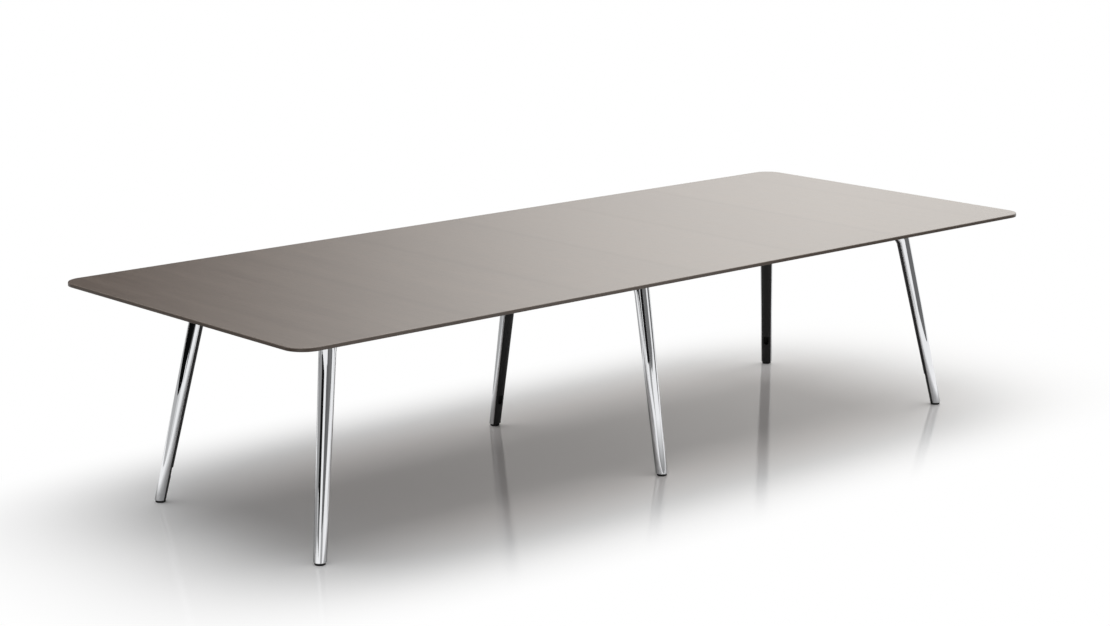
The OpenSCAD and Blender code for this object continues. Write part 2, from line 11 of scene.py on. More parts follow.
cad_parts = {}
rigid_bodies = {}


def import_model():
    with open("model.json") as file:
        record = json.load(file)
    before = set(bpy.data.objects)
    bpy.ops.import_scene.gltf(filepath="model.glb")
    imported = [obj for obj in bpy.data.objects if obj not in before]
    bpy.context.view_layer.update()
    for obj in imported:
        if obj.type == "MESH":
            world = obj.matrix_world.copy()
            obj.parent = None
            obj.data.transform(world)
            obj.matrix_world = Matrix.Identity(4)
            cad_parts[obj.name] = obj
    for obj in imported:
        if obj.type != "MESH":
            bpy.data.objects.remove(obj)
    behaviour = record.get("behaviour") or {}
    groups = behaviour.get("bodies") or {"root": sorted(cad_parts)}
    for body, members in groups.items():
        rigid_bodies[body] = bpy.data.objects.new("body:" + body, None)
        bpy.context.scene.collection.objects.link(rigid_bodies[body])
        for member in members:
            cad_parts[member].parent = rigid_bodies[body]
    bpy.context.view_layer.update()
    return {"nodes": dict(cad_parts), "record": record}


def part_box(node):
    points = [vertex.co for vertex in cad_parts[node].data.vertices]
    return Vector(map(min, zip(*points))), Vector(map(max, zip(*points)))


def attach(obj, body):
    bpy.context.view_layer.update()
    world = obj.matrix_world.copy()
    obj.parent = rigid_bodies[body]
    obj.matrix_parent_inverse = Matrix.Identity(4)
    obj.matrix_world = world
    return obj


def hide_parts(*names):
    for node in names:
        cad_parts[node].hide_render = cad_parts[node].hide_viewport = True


for leftover in list(bpy.data.objects):
    bpy.data.objects.remove(leftover)
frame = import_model()

bl_info = {
    "name": "Conference table",
    "version": (1, 0, 0),
    "blender": (4, 5, 0),
    "location": "3D View > Sidebar > Table",
    "description": "Dresses a conference table on six polished legs",
    "category": "Object",
}

# Sides of the table: along its length, then across it
PLACES = {
    "front_left": (-1, -1), "front_middle": (0, -1), "front_right": (1, -1),
    "back_left": (-1, 1), "back_middle": (0, 1), "back_right": (1, 1),
}
MM = 0.001
UP = Vector((0.0, 0.0, 1.0))
WHITE = (1.0, 1.0, 1.0, 1.0)
EDGE_LOW, EDGE_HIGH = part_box("edge_band")
CORE_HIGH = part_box("tabletop_core")[1]
PAD_LOW, PAD_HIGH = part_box("glide_pad_back_right")
PAD_MIDDLE = (PAD_LOW + PAD_HIGH) / 2
LEG_LOW, LEG_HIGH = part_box("leg_back_right")
RAIL_LOW, RAIL_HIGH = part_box("side_rail_back")
BOLT_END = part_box("leg_bolts")[1].y
BOLT_HEIGHT = (RAIL_HIGH.z - RAIL_LOW.z) / 2
BOLT_HEAD = 8.0 * MM


def size(name, description, default):
    """A length in metres."""
    return FloatProperty(name=name, description=description, default=default, unit="LENGTH", precision=4)


def angle(name, description, degrees):
    """An angle, given in degrees."""
    default = math.radians(degrees)
    return FloatProperty(name=name, description=description, default=default, subtype="ANGLE")


def share(name, description, default):
    """A number without a unit, mostly from none to all."""
    return FloatProperty(name=name, description=description, default=default, subtype="FACTOR")


def colour(name, description, red, green, blue):
    """A colour, given as a screen shows it, from 0 to 255."""
    return FloatVectorProperty(
        name=name, description=description, subtype="COLOR", size=3, min=0.0, max=1.0,
        default=[linear(level) for level in (red, green, blue)],
    )


def linear(level):
    """Light of a screen level from 0 to 255."""
    level /= 255.0
    return level / 12.92 if level <= 0.04045 else ((level + 0.055) / 1.055) ** 2.4


class TopSizes(bpy.types.PropertyGroup):
    """Sizes of the edge of the top and of its veneer."""
    corner_radius: size("Corner radius", "Radius of the corners in plan", 0.07)
    band: size("Band", "Thickness of the edge band", EDGE_HIGH.x - CORE_HIGH.x)
    rounding: size("Rounding", "Radius of the arrises of the edge band", 0.9 * MM)
    upper_rounding: size("Upper rounding", "Width of the upper arris of the edge band", 1.8 * MM)
    upper_fall: size("Upper fall", "Height of the upper arris of the edge band", 4.0 * MM)
    leaf_width: size("Leaf width", "Width of a leaf of veneer along the table", 0.489)
    leaf_start: size("Leaf start", "Place of a joint between two leaves", -0.019)
    leaf_shift: size("Leaf shift", "Step of the pattern from one leaf to the next", 0.013)
    joint_shade: size("Joint shade", "Width of the faint shade along a joint", 0.03)


class LegSizes(bpy.types.PropertyGroup):
    """Sizes of a leg, as in its solid."""
    foot_x: size("Foot along", "Distance of the corner feet from the middle", PAD_MIDDLE.x)
    foot_y: size("Foot across", "Distance of the feet from the middle line", PAD_MIDDLE.y)
    end_rake: angle("End rake", "Rake of the corner legs toward the ends", 10.0)
    side_rake: angle("Side rake", "Rake of the corner legs toward the sides", 8.2)
    middle_rake: angle("Middle rake", "Rake of the middle legs", 9.5)
    foot_radius: size("Foot radius", "Radius of a leg at the floor", 20.5 * MM)
    head_radius: size("Head radius", "Radius of a leg at its bend", 27.0 * MM)
    bend_radius: size("Bend radius", "Radius of the bend at the leg's axis", 60.0 * MM)
    outer_tightness: share("Outer tightness", "Loss of the bend's radius outside its axis", 0.35)
    arm_height: size("Arm height", "Height of the axis of the bent end", 662.0 * MM)
    flat_share: share("Flat", "Distance of the flat from the axis, by the radius", 0.5)
    lip_rounding: size("Lip rounding", "Length of the rounding along the flat's edges", 2.2 * MM)
    channel_radius: size("Channel radius", "Radius of the cable channel", 13.0 * MM)
    channel_offset: size("Channel offset", "Distance of the channel's axis from the leg's", 12.0 * MM)
    channel_bottom: size("Channel bottom", "Height of the lower end of the channel", 81.0 * MM)
    arm_width: size("Arm width", "Width and height of the arm", 32.0 * MM)
    arm_overlap: size("Arm overlap", "Length of the arm inside the bent end", 4.0 * MM)
    wing: size("Wing", "Thickness of the bolting wings", BOLT_END - RAIL_HIGH.y - BOLT_HEAD)
    corner_wing: size("Corner wing", "Length of a corner leg's wing", 124.0 * MM)
    middle_wing: size("Middle wing", "Length of a middle leg's wing", 140.0 * MM)
    wing_radius: size("Wing corners", "Radius of the wings' corners", 10.0 * MM)
    bolt_hole: size("Bolt hole", "Radius of the bolt holes", 4.5 * MM)
    near_bolt: size("Near bolt", "Distance of a corner leg's first bolt from the corner", 68.0 * MM)
    far_bolt: size("Far bolt", "Distance of its second bolt from the corner of the frame", 104.0 * MM)
    bolt_out: size("Bolts out", "Distance of a middle leg's bolts from its axis, in plan", 52.0 * MM)
    bolt_up: size("Bolts up", "Distance of those bolts from the middle of the rail's height", 14.0 * MM)
    foot_edge: size("Foot edge", "Size of the eased edge under the foot", 0.8 * MM)
    casting_edge: size("Casting edge", "Radius of the edges of arm and wings", 1.2 * MM)
    bush_radius: size("Bush radius", "Radius of the seat of the glide's bush", 8.05 * MM)
    bush_top: size("Bush top", "Height of the top of that seat", 34.0 * MM)
    stem_radius: size("Stem bore", "Radius of the bore over the bush", 5.1 * MM)
    stem_top: size("Stem bore top", "Height of the top of that bore", 43.0 * MM)


class CoverSizes(bpy.types.PropertyGroup):
    """Sizes of the black covers."""
    bottom: size("Bottom", "Height of the lower end of the strip", 121.0 * MM)
    crown_share: share("Crown", "Distance of the crown from the leg's axis, by the radius", 0.82)
    half_share: share("Half width", "Half width of the strip, by the radius", 0.84)
    gap: size("Gap", "Clearance between a cover and its seat", 0.2 * MM)
    rounding: size("Rounding", "Length of the rounding along the strip's edges", 1.2 * MM)
    entry: angle("Entry", "Part of the bend that the cable entry leaves open", 30.0)
    lugs: IntProperty(name="Lugs", description="Number of snap lugs on a strip", default=4, min=1)
    lug_length: size("Lug length", "Length of a snap lug", 12.0 * MM)
    lug_depth: size("Lug depth", "Depth of a snap lug under the flat", 6.0 * MM)
    lug_half: size("Lug half width", "Half the width of a snap lug", 11.0 * MM)
    lug_root: size("Lug root", "Depth of a snap lug's root in the strip", 1.0 * MM)
    lug_edge: size("Lug edge", "Radius of a snap lug's edges", 0.6 * MM)


class GlideSizes(bpy.types.PropertyGroup):
    """Sizes of a levelling glide."""
    pad_radius: size("Pad radius", "Radius of the pad", (PAD_HIGH.x - PAD_LOW.x) / 2)
    pad_height: size("Pad height", "Height of the pad", PAD_HIGH.z)
    pad_floor: size("Pad floor", "Thickness of the pad under the stem", 2.4 * MM)
    lower_width: size("Lower width", "Width of the rounding under the pad", 2.4 * MM)
    lower_height: size("Lower height", "Height of the rounding under the pad", 1.9 * MM)
    lower_corner: size("Lower corner", "Distance of that rounding's corner from the rim", 0.9 * MM)
    upper_width: size("Upper width", "Width of the rounding on top of the pad", 1.6 * MM)
    upper_height: size("Upper height", "Height of the rounding on top of the pad", 1.2 * MM)
    mouth_width: size("Mouth width", "Width of the eased edge of the pad's mouth", 0.5 * MM)
    groove_low: size("Groove low", "Height of the lower edge of the pad's groove", 3.0 * MM)
    groove_high: size("Groove high", "Height of the upper edge of that groove", 4.2 * MM)
    groove_edge: size("Groove edge", "Height of the slope at each edge of that groove", 0.3 * MM)
    groove_depth: size("Groove depth", "Depth of that groove", 0.35 * MM)
    chamfer: size("Chamfer", "Height of the eased edges of disc and mouth", 0.4 * MM)
    centre: size("Centre", "Radius of the small face in the middle of a turned end", 0.2 * MM)
    disc_radius: size("Disc radius", "Radius of the disc under the stem", 9.0 * MM)
    disc_height: size("Disc height", "Thickness of that disc", 2.4 * MM)
    swivel_gap: size("Swivel gap", "Clearance between stem and pad", 0.3 * MM)
    stem_radius: size("Stem radius", "Outer radius of the thread", 5.0 * MM)
    stem_top: size("Stem top", "Height of the top of the stem", 40.0 * MM)
    pitch: size("Pitch", "Pitch of the thread", 1.5 * MM)
    thread_depth: size("Thread depth", "Depth of the thread", 0.8 * MM)
    thread_start: size("Thread start", "Distance of the thread from the disc", 0.5 * MM)
    socket_radius: size("Socket", "Radius of the hexagon socket at its corners", 2.9 * MM)
    socket_depth: size("Socket depth", "Depth of that socket", 6.0 * MM)


class Finishes(bpy.types.PropertyGroup):
    """Colours of the finishes."""
    veneer_dark: colour("Veneer, dark", "Dark grain of the stained veneer", 93, 79, 70)
    veneer_light: colour("Veneer, light", "Light grain of the stained veneer", 119, 105, 94)
    edge_dark: colour("Edge, dark", "Dark streaks of the edge band", 52, 41, 33)
    edge_light: colour("Edge, light", "Light streaks of the edge band", 84, 70, 58)
    board_dark: colour("Board, dark", "Dark specks of the sealed board", 50, 43, 39)
    board_light: colour("Board, light", "Light specks of the sealed board", 70, 62, 57)
    backing_dark: colour("Backing, dark", "Dark fibres of the balancing sheet", 46, 39, 34)
    backing_light: colour("Backing, light", "Light fibres of the balancing sheet", 66, 57, 50)
    metal_dark: colour("Polished metal, dark", "Duller patches of the polish", 226, 227, 229)
    metal_light: colour("Polished metal, light", "Brighter patches of the polish", 240, 241, 243)
    cover_dark: colour("Cover, dark", "Dark side of the moulded grain", 22, 22, 23)
    cover_light: colour("Cover, light", "Light side of the moulded grain", 33, 33, 34)
    pad_dark: colour("Pad, dark", "Dark side of the pad's grain", 15, 15, 15)
    pad_light: colour("Pad, light", "Light side of the pad's grain", 27, 27, 27)
    rail_dark: colour("Rail, dark", "Dark side of the powder coat", 32, 32, 34)
    rail_light: colour("Rail, light", "Light side of the powder coat", 50, 50, 53)
    steel_dark: colour("Steel, dark", "Dark patches of the plating", 142, 144, 148)
    steel_light: colour("Steel, light", "Light patches of the plating", 196, 198, 201)
    floor: colour("Floor", "Studio floor", 245, 245, 245)
    # painted warm bounce light: the floor is painted warmer in the middle of the table's shadow
    floor_painted_bounce: colour("Floor, core", "Studio floor in the middle of the shadow", 248, 244, 242)
    haze: colour("Haze", "White that the top mirrors from behind", 255, 253, 249)


class StageSizes(bpy.types.PropertyGroup):
    """Camera and light of the studio."""
    eye: FloatVectorProperty(
        name="Eye", description="Place of the camera", size=3, subtype="TRANSLATION",
        default=(-5.6481, -6.2073, 2.3593),
    )
    tilt: angle("Tilt", "Tilt of the camera from straight down", 77.451)
    heading: angle("Heading", "Turn of the camera about the upright", -41.812)
    lens: FloatProperty(name="Lens", description="Focal length", default=80.195, unit="CAMERA")
    sensor: FloatProperty(name="Sensor", description="Width of the sensor", default=36.0, unit="CAMERA")
    view_depth: size("View depth", "Farthest that the camera sees", 200.0)
    ambient: FloatProperty(name="Ambient", description="Level of the light from all round", default=0.42)
    ceiling: FloatProperty(name="Ceiling", description="Watts of the ceiling light", default=232.0)
    side: FloatProperty(name="Side", description="Watts of the light at the right", default=60.0)
    floor_radius: size("Floor radius", "Radius of the studio floor", 60.0)
    curtain_radius: size("Curtain radius", "Distance of the dark curtain behind", 9.0)
    curtain_height: size("Curtain height", "Height of that curtain", 6.0)
    curtain_grey: share("Curtain grey", "Light of that curtain", 0.02)
    shadow_x: size("Shadow along", "Half length of the floor that keeps its shade", 3.0)
    shadow_y: size("Shadow across", "Half width of the floor that keeps its shade", 1.25)
    shadow_shift: size("Shadow shift", "How far the middle of that floor is to the right", 0.15)
    shade_start: share("Shade start", "Where that floor starts to turn white, by its half sizes", 0.5)
    shade_stop: share("Shade stop", "Where that floor has turned white", 0.88)
    # where the painted warm bounce light in the middle of the floor's shadow starts and stops fading
    core_start: share("Core start", "Where the core's warm tone starts to fade", 0.36)
    core_stop: share("Core stop", "Where that tone has faded", 0.55)
    floor_lift: share("Floor lift", "Extra white that the camera sees on the floor", 0.08)
    floor_ior: FloatProperty(name="Floor gloss", description="Index of the floor's polish", default=1.2)
    floor_grain: share("Floor grain", "Slope of the fine grain that blurs that polish", 0.012)
    foot_shade: share("Foot shade", "Shade round the feet that the metal mirrors", 0.45)
    foot_near: size("Foot shade, near", "Distance from a foot where that shade starts to fade", 0.1)
    foot_far: size("Foot shade, far", "Distance from a foot where that shade has faded", 0.8)


# Materials

def set_inputs(tree, node, inputs):
    """Numbers and links of a node's sockets, given by name or number."""
    for key, value in inputs.items():
        if isinstance(value, bpy.types.NodeSocket):
            tree.links.new(value, node.inputs[key])
        else:
            node.inputs[key].default_value = value


def add_node(tree, kind, inputs=None, **settings):
    """A shader node with its settings and inputs."""
    made = tree.nodes.new(kind)
    for key, value in settings.items():
        setattr(made, key, value)
    set_inputs(tree, made, inputs or {})
    return made


def maths(tree, operation, *values):
    """The result of a sum on sockets and numbers."""
    return add_node(tree, "ShaderNodeMath", dict(enumerate(values)), operation=operation).outputs[0]


def vector_maths(tree, operation, *values):
    """The result of a sum on vectors: a number for a length or a distance, or else a vector."""
    made = add_node(tree, "ShaderNodeVectorMath", dict(enumerate(values)), operation=operation)
    return made.outputs["Value" if operation in ("LENGTH", "DISTANCE") else "Vector"]


def weighed(tree, first, second, weight):
    """A mix of two patterns, with the weight of the first."""
    rest = maths(tree, "MULTIPLY", second, 1.0 - weight)
    return maths(tree, "MULTIPLY_ADD", first, weight, rest)


def ramp(tree, value, first, last, low=0.0, high=1.0, kind="LINEAR"):
    """A number from low to high as value goes from first to last."""
    inputs = {"Value": value, "From Min": first, "From Max": last, "To Min": low, "To Max": high}
    return add_node(tree, "ShaderNodeMapRange", inputs, interpolation_type=kind).outputs["Result"]


def between(tree, factor, low, high):
    """A number from low to high as factor goes from 0 to 1."""
    return ramp(tree, factor, 0.0, 1.0, low, high)


def blend_colours(tree, factor, first, second):
    """A mix of two colours."""
    inputs = {0: factor, 6: rgba(first), 7: rgba(second)}
    return add_node(tree, "ShaderNodeMix", inputs, data_type="RGBA").outputs[2]


def rgba(value):
    """A colour with its fourth number, or a socket as it is."""
    return value if isinstance(value, bpy.types.NodeSocket) else (*value, 1.0)


def blend_shaders(tree, factor, first, second):
    """A mix of two shaders."""
    return add_node(tree, "ShaderNodeMixShader", {0: factor, 1: first, 2: second}).outputs[0]


def shader(tree, kind, **inputs):
    """The output of a simple shader node."""
    return add_node(tree, kind, inputs).outputs[0]


def attribute(tree, name):
    """A number that a mesh keeps at its corners."""
    return add_node(tree, "ShaderNodeAttribute", attribute_name=name).outputs["Fac"]


def stretched(tree, source, scale, shift=(0.0, 0.0, 0.0)):
    """Coordinates stretched along the axes, then shifted."""
    inputs = {"Vector": source, "Scale": scale, "Location": shift}
    return add_node(tree, "ShaderNodeMapping", inputs).outputs["Vector"]


def noise(tree, vector, scale, detail=2.0, distortion=0.0):
    """A cloudy pattern from 0 to 1."""
    inputs = {"Vector": vector, "Scale": scale, "Detail": detail, "Distortion": distortion}
    return add_node(tree, "ShaderNodeTexNoise", inputs).outputs["Fac"]


def seen_ray(tree):
    """1 for the camera and for what mirrors or lets light through, 0 for the light on the object."""
    rays = add_node(tree, "ShaderNodeLightPath").outputs
    seen = maths(tree, "MAXIMUM", rays["Is Camera Ray"], rays["Is Glossy Ray"])
    return maths(tree, "MAXIMUM", seen, rays["Is Transmission Ray"])


def empty_tree(owner):
    """The empty node tree of a new material or world."""
    owner.use_nodes = True
    owner.node_tree.nodes.clear()
    return owner.node_tree


def object_place(tree):
    """Coordinates of the object."""
    return add_node(tree, "ShaderNodeTexCoord").outputs["Object"]


def new_finish(name):
    """A material with its tree and its shader."""
    made = bpy.data.materials.new(name)
    tree = empty_tree(made)
    surface = add_node(tree, "ShaderNodeBsdfPrincipled")
    add_node(tree, "ShaderNodeOutputMaterial", {"Surface": surface.outputs["BSDF"]})
    return made, tree, surface


def bump(tree, height, strength, distance):
    """A normal from a height pattern."""
    inputs = {"Height": height, "Strength": strength, "Distance": distance}
    return add_node(tree, "ShaderNodeBump", inputs).outputs["Normal"]


def veneer_finish(colours, top):
    """Stained veneer in book-matched leaves with the grain across the table, under satin lacquer."""
    made, tree, surface = new_finish("stained veneer")
    parts = add_node(tree, "ShaderNodeSeparateXYZ", {"Vector": object_place(tree)}).outputs
    along = maths(tree, "SUBTRACT", parts["X"], top.leaf_start)
    leaf = maths(tree, "FLOOR", maths(tree, "DIVIDE", along, top.leaf_width))
    matched = maths(tree, "PINGPONG", along, top.leaf_width)
    inputs = {"X": matched, "Y": parts["Y"], "Z": maths(tree, "MULTIPLY", leaf, top.leaf_shift)}
    sheet = add_node(tree, "ShaderNodeCombineXYZ", inputs).outputs["Vector"]
    figure = noise(tree, stretched(tree, sheet, (1.0, 0.06, 1.0)), 26.0, detail=4.0, distortion=0.5)
    grain = noise(tree, stretched(tree, sheet, (1.0, 0.025, 1.0)), 320.0, detail=3.0, distortion=0.2)
    pores = noise(tree, stretched(tree, sheet, (1.0, 0.018, 1.0)), 1300.0, detail=1.0)
    tone = add_node(tree, "ShaderNodeTexWhiteNoise", {"W": leaf}, noise_dimensions="1D").outputs["Value"]
    joint_gap = maths(tree, "MINIMUM", matched, maths(tree, "SUBTRACT", top.leaf_width, matched))
    joint = ramp(tree, joint_gap, 0.0, top.joint_shade, low=0.75, high=1.0)
    mixed = maths(tree, "MULTIPLY", weighed(tree, figure, grain, 0.55), joint)
    mixed = maths(tree, "ADD", mixed, between(tree, tone, -0.06, 0.06))
    contrast = between(tree, mixed, -0.35, 1.35)
    wood = blend_colours(tree, contrast, colours.veneer_dark, colours.veneer_light)
    pore_mask = between(tree, maths(tree, "GREATER_THAN", pores, 0.62), 0.0, 0.35)
    pore_tone = [level * 0.55 for level in colours.veneer_dark]
    wood = blend_colours(tree, pore_mask, wood, pore_tone)
    set_inputs(tree, surface, {
        "Base Color": wood,
        "Roughness": between(tree, figure, 0.30, 0.38),
        "Normal": bump(tree, grain, strength=0.06, distance=0.2 * MM),
        "IOR": 1.6,
        "Coat Weight": 1.0,
        "Coat Roughness": 0.24,
        "Coat IOR": 1.6,
    })
    return made


def edge_finish(colours):
    """Dark lipping with streaks along the edge; its upward-facing upper arris takes the veneer's lighter
    colours, painted light from above.
    """
    made, tree, surface = new_finish("dark edge band")
    length = add_node(tree, "ShaderNodeUVMap", uv_map="edge").outputs["UV"]
    streaks = noise(tree, stretched(tree, length, (3.0, 900.0, 1.0)), 1.0, detail=4.0, distortion=0.4)
    flecks = noise(tree, stretched(tree, length, (60.0, 2600.0, 1.0)), 1.0)
    mixed = weighed(tree, streaks, flecks, 0.7)
    wood = blend_colours(tree, mixed, colours.edge_dark, colours.edge_light)
    # painted light: where the band faces up, its colour turns to the veneer's lighter tones, standing in
    # for the light from above that falls on it
    stained = blend_colours(tree, mixed, colours.veneer_dark, colours.veneer_light)
    facing = add_node(tree, "ShaderNodeNewGeometry").outputs["Normal"]
    upward = add_node(tree, "ShaderNodeSeparateXYZ", {"Vector": facing}).outputs["Z"]
    arris = ramp(tree, upward, first=0.05, last=0.3)
    set_inputs(tree, surface, {
        "Base Color": blend_colours(tree, arris, wood, stained),
        "Roughness": between(tree, flecks, 0.36, 0.5),
        "Normal": bump(tree, streaks, strength=0.08, distance=0.2 * MM),
        "Coat Weight": between(tree, arris, 0.2, 1.0),
        "Coat Roughness": 0.3,
    })
    return made


def speckled_finish(name, dark, light, grain, roughness, relief, metallic=0.0, patches=4.0):
    """Fine grain over soft patches: board, sheet, powder coat, moulding or plating."""
    made, tree, surface = new_finish(name)
    place = object_place(tree)
    fine = noise(tree, place, grain, detail=3.0)
    soft = noise(tree, place, patches)
    set_inputs(tree, surface, {
        "Base Color": blend_colours(tree, weighed(tree, fine, soft, 0.6), dark, light),
        "Metallic": metallic,
        "Roughness": between(tree, fine, *roughness),
        "Normal": bump(tree, fine, relief, distance=0.2 * MM),
    })
    return made


def polished_finish(colours):
    """Polished cast aluminium with faint patches and polishing lines."""
    made, tree, surface = new_finish("polished aluminium")
    place = object_place(tree)
    patches = noise(tree, place, 9.0, detail=3.0)
    lines = noise(tree, stretched(tree, place, (1.0, 1.0, 0.04)), 1500.0)
    set_inputs(tree, surface, {
        "Base Color": blend_colours(tree, patches, colours.metal_dark, colours.metal_light),
        "Metallic": 1.0,
        "Roughness": between(tree, patches, 0.02, 0.05),
        "Normal": bump(tree, lines, strength=0.012, distance=0.1 * MM),
    })
    return made


# Speckled finishes: slot, name, prefix of its colours, grain, least and most roughness, and relief
SPECKLED = (
    ("board", "sealed board", "board", 900.0, (0.5, 0.65), 0.15),
    ("backing", "balancing sheet", "backing", 600.0, (0.5, 0.62), 0.08),
    ("rail", "powder coat", "rail", 700.0, (0.42, 0.58), 0.25),
    ("cover", "matt black moulding", "cover", 1100.0, (0.5, 0.64), 0.2),
    ("pad", "black pad", "pad", 800.0, (0.6, 0.75), 0.2),
    # channel: the faces of the cable groove inside each leg, made near black with the pads' colours
    ("channel", "painted channel", "pad", 500.0, (0.6, 0.8), 0.3),
)


def make_finishes(scene):
    """Every finish, by the record's slot."""
    colours = scene.table_finishes
    made = {
        "veneer": veneer_finish(colours, scene.table_top),
        "edge": edge_finish(colours),
        "polished_metal": polished_finish(colours),
        "steel": speckled_finish(
            "plated steel", colours.steel_dark, colours.steel_light, 420.0, (0.26, 0.42), 0.05,
            metallic=1.0, patches=30.0),
    }
    for slot, name, prefix, *numbers in SPECKLED:
        dark, light = (getattr(colours, f"{prefix}_{tone}") for tone in ("dark", "light"))
        made[slot] = speckled_finish(name, dark, light, *numbers)
    return made


FINISHES = {}


def finish_of(slot):
    """The finish of a slot. All are made on the first use."""
    if not FINISHES:
        FINISHES.update(make_finishes(bpy.context.scene))
    return FINISHES[slot]


# Mesh tools

# Stands a slab up, with its thickness toward the front
UPRIGHT = Matrix(((1, 0, 0), (0, 0, -1), (0, 1, 0))).to_4x4()


def polar(radius, turn):
    """A point in the plane, by its distance and its turn."""
    return radius * math.cos(turn), radius * math.sin(turn)


def spread(first, last, count):
    """Numbers evenly from first to last."""
    return [first + (last - first) * i / (count - 1) for i in range(count)]


def distances(points):
    """How far each point of a closed loop is from the first, and the length of the whole loop."""
    result = [0.0]
    for i, here in enumerate(points):
        result.append(result[-1] + (points[(i + 1) % len(points)] - here).length)
    return result


def eased(start, corner, end, count):
    """Points of a rounded corner between two points."""
    points = []
    for t in spread(0.0, 1.0, count):
        points.append(tuple(
            (1 - t) ** 2 * a + 2 * t * (1 - t) * b + t ** 2 * c for a, b, c in zip(start, corner, end)
        ))
    return points


def loft(mesh, rings, cap_first=True, cap_last=True, lined=()):
    """Faces between rings of as many points each, with closed ends. Lined ones take the second finish."""
    made = [[mesh.verts.new(point) for point in ring] for ring in rings]
    count = len(made[0])
    for low, high in zip(made, made[1:]):
        for i in range(count):
            j = (i + 1) % count
            face = mesh.faces.new((low[i], low[j], high[j], high[i]))
            face.material_index = int(i in lined)
    if cap_first:
        mesh.faces.new(list(reversed(made[0])))
    if cap_last:
        mesh.faces.new(made[-1])
    return made


def moved_out(loop, distance):
    """A loop of points in the plane, moved to its right hand side."""
    result = []
    for i, here in enumerate(loop):
        before = (here - loop[i - 1]).normalized()
        after = (loop[(i + 1) % len(loop)] - here).normalized()
        normal = Vector((before.y + after.y, -before.x - after.x))
        normal /= max(normal.length_squared / 2.0, 0.2)
        result.append(here + normal * distance)
    return result


def slab(mesh, loops, thickness, rounding, place, steps=3):
    """A plate with rounded arrises. The first loop is its outline and turns left; holes turn right."""
    loops = [[Vector(point) for point in loop] for loop in loops]
    levels = []
    for i in range(steps + 1):
        turn = math.pi / 2 * i / steps
        levels.append((rounding * (1 - math.sin(turn)), rounding * (1 - math.cos(turn))))
    levels += [(inset, thickness - height) for inset, height in reversed(levels)]
    ends = {0: [], len(levels) - 1: []}
    for loop in loops:
        rings = []
        for inset, height in levels:
            rings.append([place @ Vector((*point, height)) for point in moved_out(loop, -inset)])
        made = loft(mesh, rings, False, False)
        for index in ends:
            ends[index].append(made[index])
    inset_loops = [[Vector((*point, 0.0)) for point in moved_out(loop, -rounding)] for loop in loops]
    triangles = tessellate_polygon(inset_loops)
    for rings in ends.values():
        corners = [corner for ring in rings for corner in ring]
        for triangle in triangles:
            mesh.faces.new([corners[i] for i in triangle])


def circle_loop(across, up, radius, count=24):
    """A hole in a slab."""
    return [(across + x, up - y) for x, y in (polar(radius, t) for t in turns_round(count))]


def turns_round(count):
    """Angles all round, without the last, which is the first."""
    return spread(0.0, 2 * math.pi, count + 1)[:-1]


def corner_arc(across, up, radius, start, count=9):
    """A quarter turn to the left, from an angle in degrees."""
    turns = spread(math.radians(start), math.radians(start + 90.0), count)
    return [(across + x, up + y) for x, y in (polar(radius, t) for t in turns)]


def turned(mesh, rings, foot):
    """A shape turned about a foot's upright axis, from rings of radius, turn and height."""
    loft(mesh, [[foot @ Vector((*polar(radius, t), z)) for radius, t, z in ring] for ring in rings])


def new_piece(name, mesh, body, slot, replaced, sharp=32.0, lining=None):
    """An object from a finished mesh, riding on its body in place of solids."""
    bmesh.ops.recalc_face_normals(mesh, faces=mesh.faces)
    data = bpy.data.meshes.new(name)
    mesh.to_mesh(data)
    mesh.free()
    data.shade_smooth()
    data.set_sharp_from_angle(angle=math.radians(sharp))
    data.materials.append(finish_of(slot))
    if lining:
        data.materials.append(finish_of(lining))
    piece = bpy.data.objects.new(name, data)
    bpy.context.scene.collection.objects.link(piece)
    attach(piece, body)
    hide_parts(*replaced)
    return piece


# Shapes of the legs

class LegShape:
    """Where the parts of one leg are: inward is toward the table's middle, along is up the leg's axis."""

    def __init__(self, legs, place):
        self.legs = legs
        self.sx, self.sy = PLACES[place]
        end, side = math.tan(legs.end_rake), math.tan(legs.side_rake)
        if self.sx:
            azimuth = math.atan2(side, end)
            self.lean = math.atan(math.hypot(end, side))
            inward = Vector((-self.sx * math.cos(azimuth), -self.sy * math.sin(azimuth), 0.0))
        else:
            self.lean = legs.middle_rake
            inward = Vector((0.0, -self.sy, 0.0))
        foot = Vector((self.sx * legs.foot_x, self.sy * legs.foot_y, 0.0))
        axes = Matrix((inward.cross(UP), inward, UP)).transposed().to_4x4()
        self.place = Matrix.Translation(foot) @ axes
        centre = legs.arm_height - legs.bend_radius
        bend_z = centre + legs.bend_radius * math.sin(self.lean)
        self.shaft = bend_z / math.cos(self.lean)
        self.reach = bend_z * math.tan(self.lean) + legs.bend_radius * math.cos(self.lean)

    def radius(self, along):
        """Radius of the leg at a place along its axis."""
        legs = self.legs
        return legs.foot_radius + (legs.head_radius - legs.foot_radius) * along / self.shaft

    def point(self, inward, across, along):
        """A point given in the leaning frame."""
        c, s = math.cos(self.lean), math.sin(self.lean)
        return self.place @ Vector((across, inward * c + along * s, along * c - inward * s))

    def at_height(self, inward, height):
        """Place along the axis where a point this far inward has a height."""
        return (height + inward * math.sin(self.lean)) / math.cos(self.lean)

    def ring(self, outline, along):
        """An outline across the shaft."""
        return [self.point(inward, across, along) for inward, across in outline]

    def bend_ring(self, outline, turn):
        """An outline across the bend. The outer side stays straight for longer and turns more tightly."""
        bend, total = self.legs.bend_radius, math.pi / 2 - self.lean
        ring = []
        for inward, across in outline:
            full = bend - inward
            tight = full if inward >= 0 else bend + inward * self.legs.outer_tightness
            run = (full - tight) * math.tan(total / 2)
            gone = (2 * run + tight * total) * turn / total
            angle_gone = min(max((gone - run) / tight, 0.0), total)
            before, after = min(gone, run), max(gone - run - tight * total, 0.0)
            c, s = math.cos(angle_gone), math.sin(angle_gone)
            ring.append(self.point(
                inward + tight * (1 - c) + after * s, across,
                self.shaft + before + tight * s + after * c,
            ))
        return ring


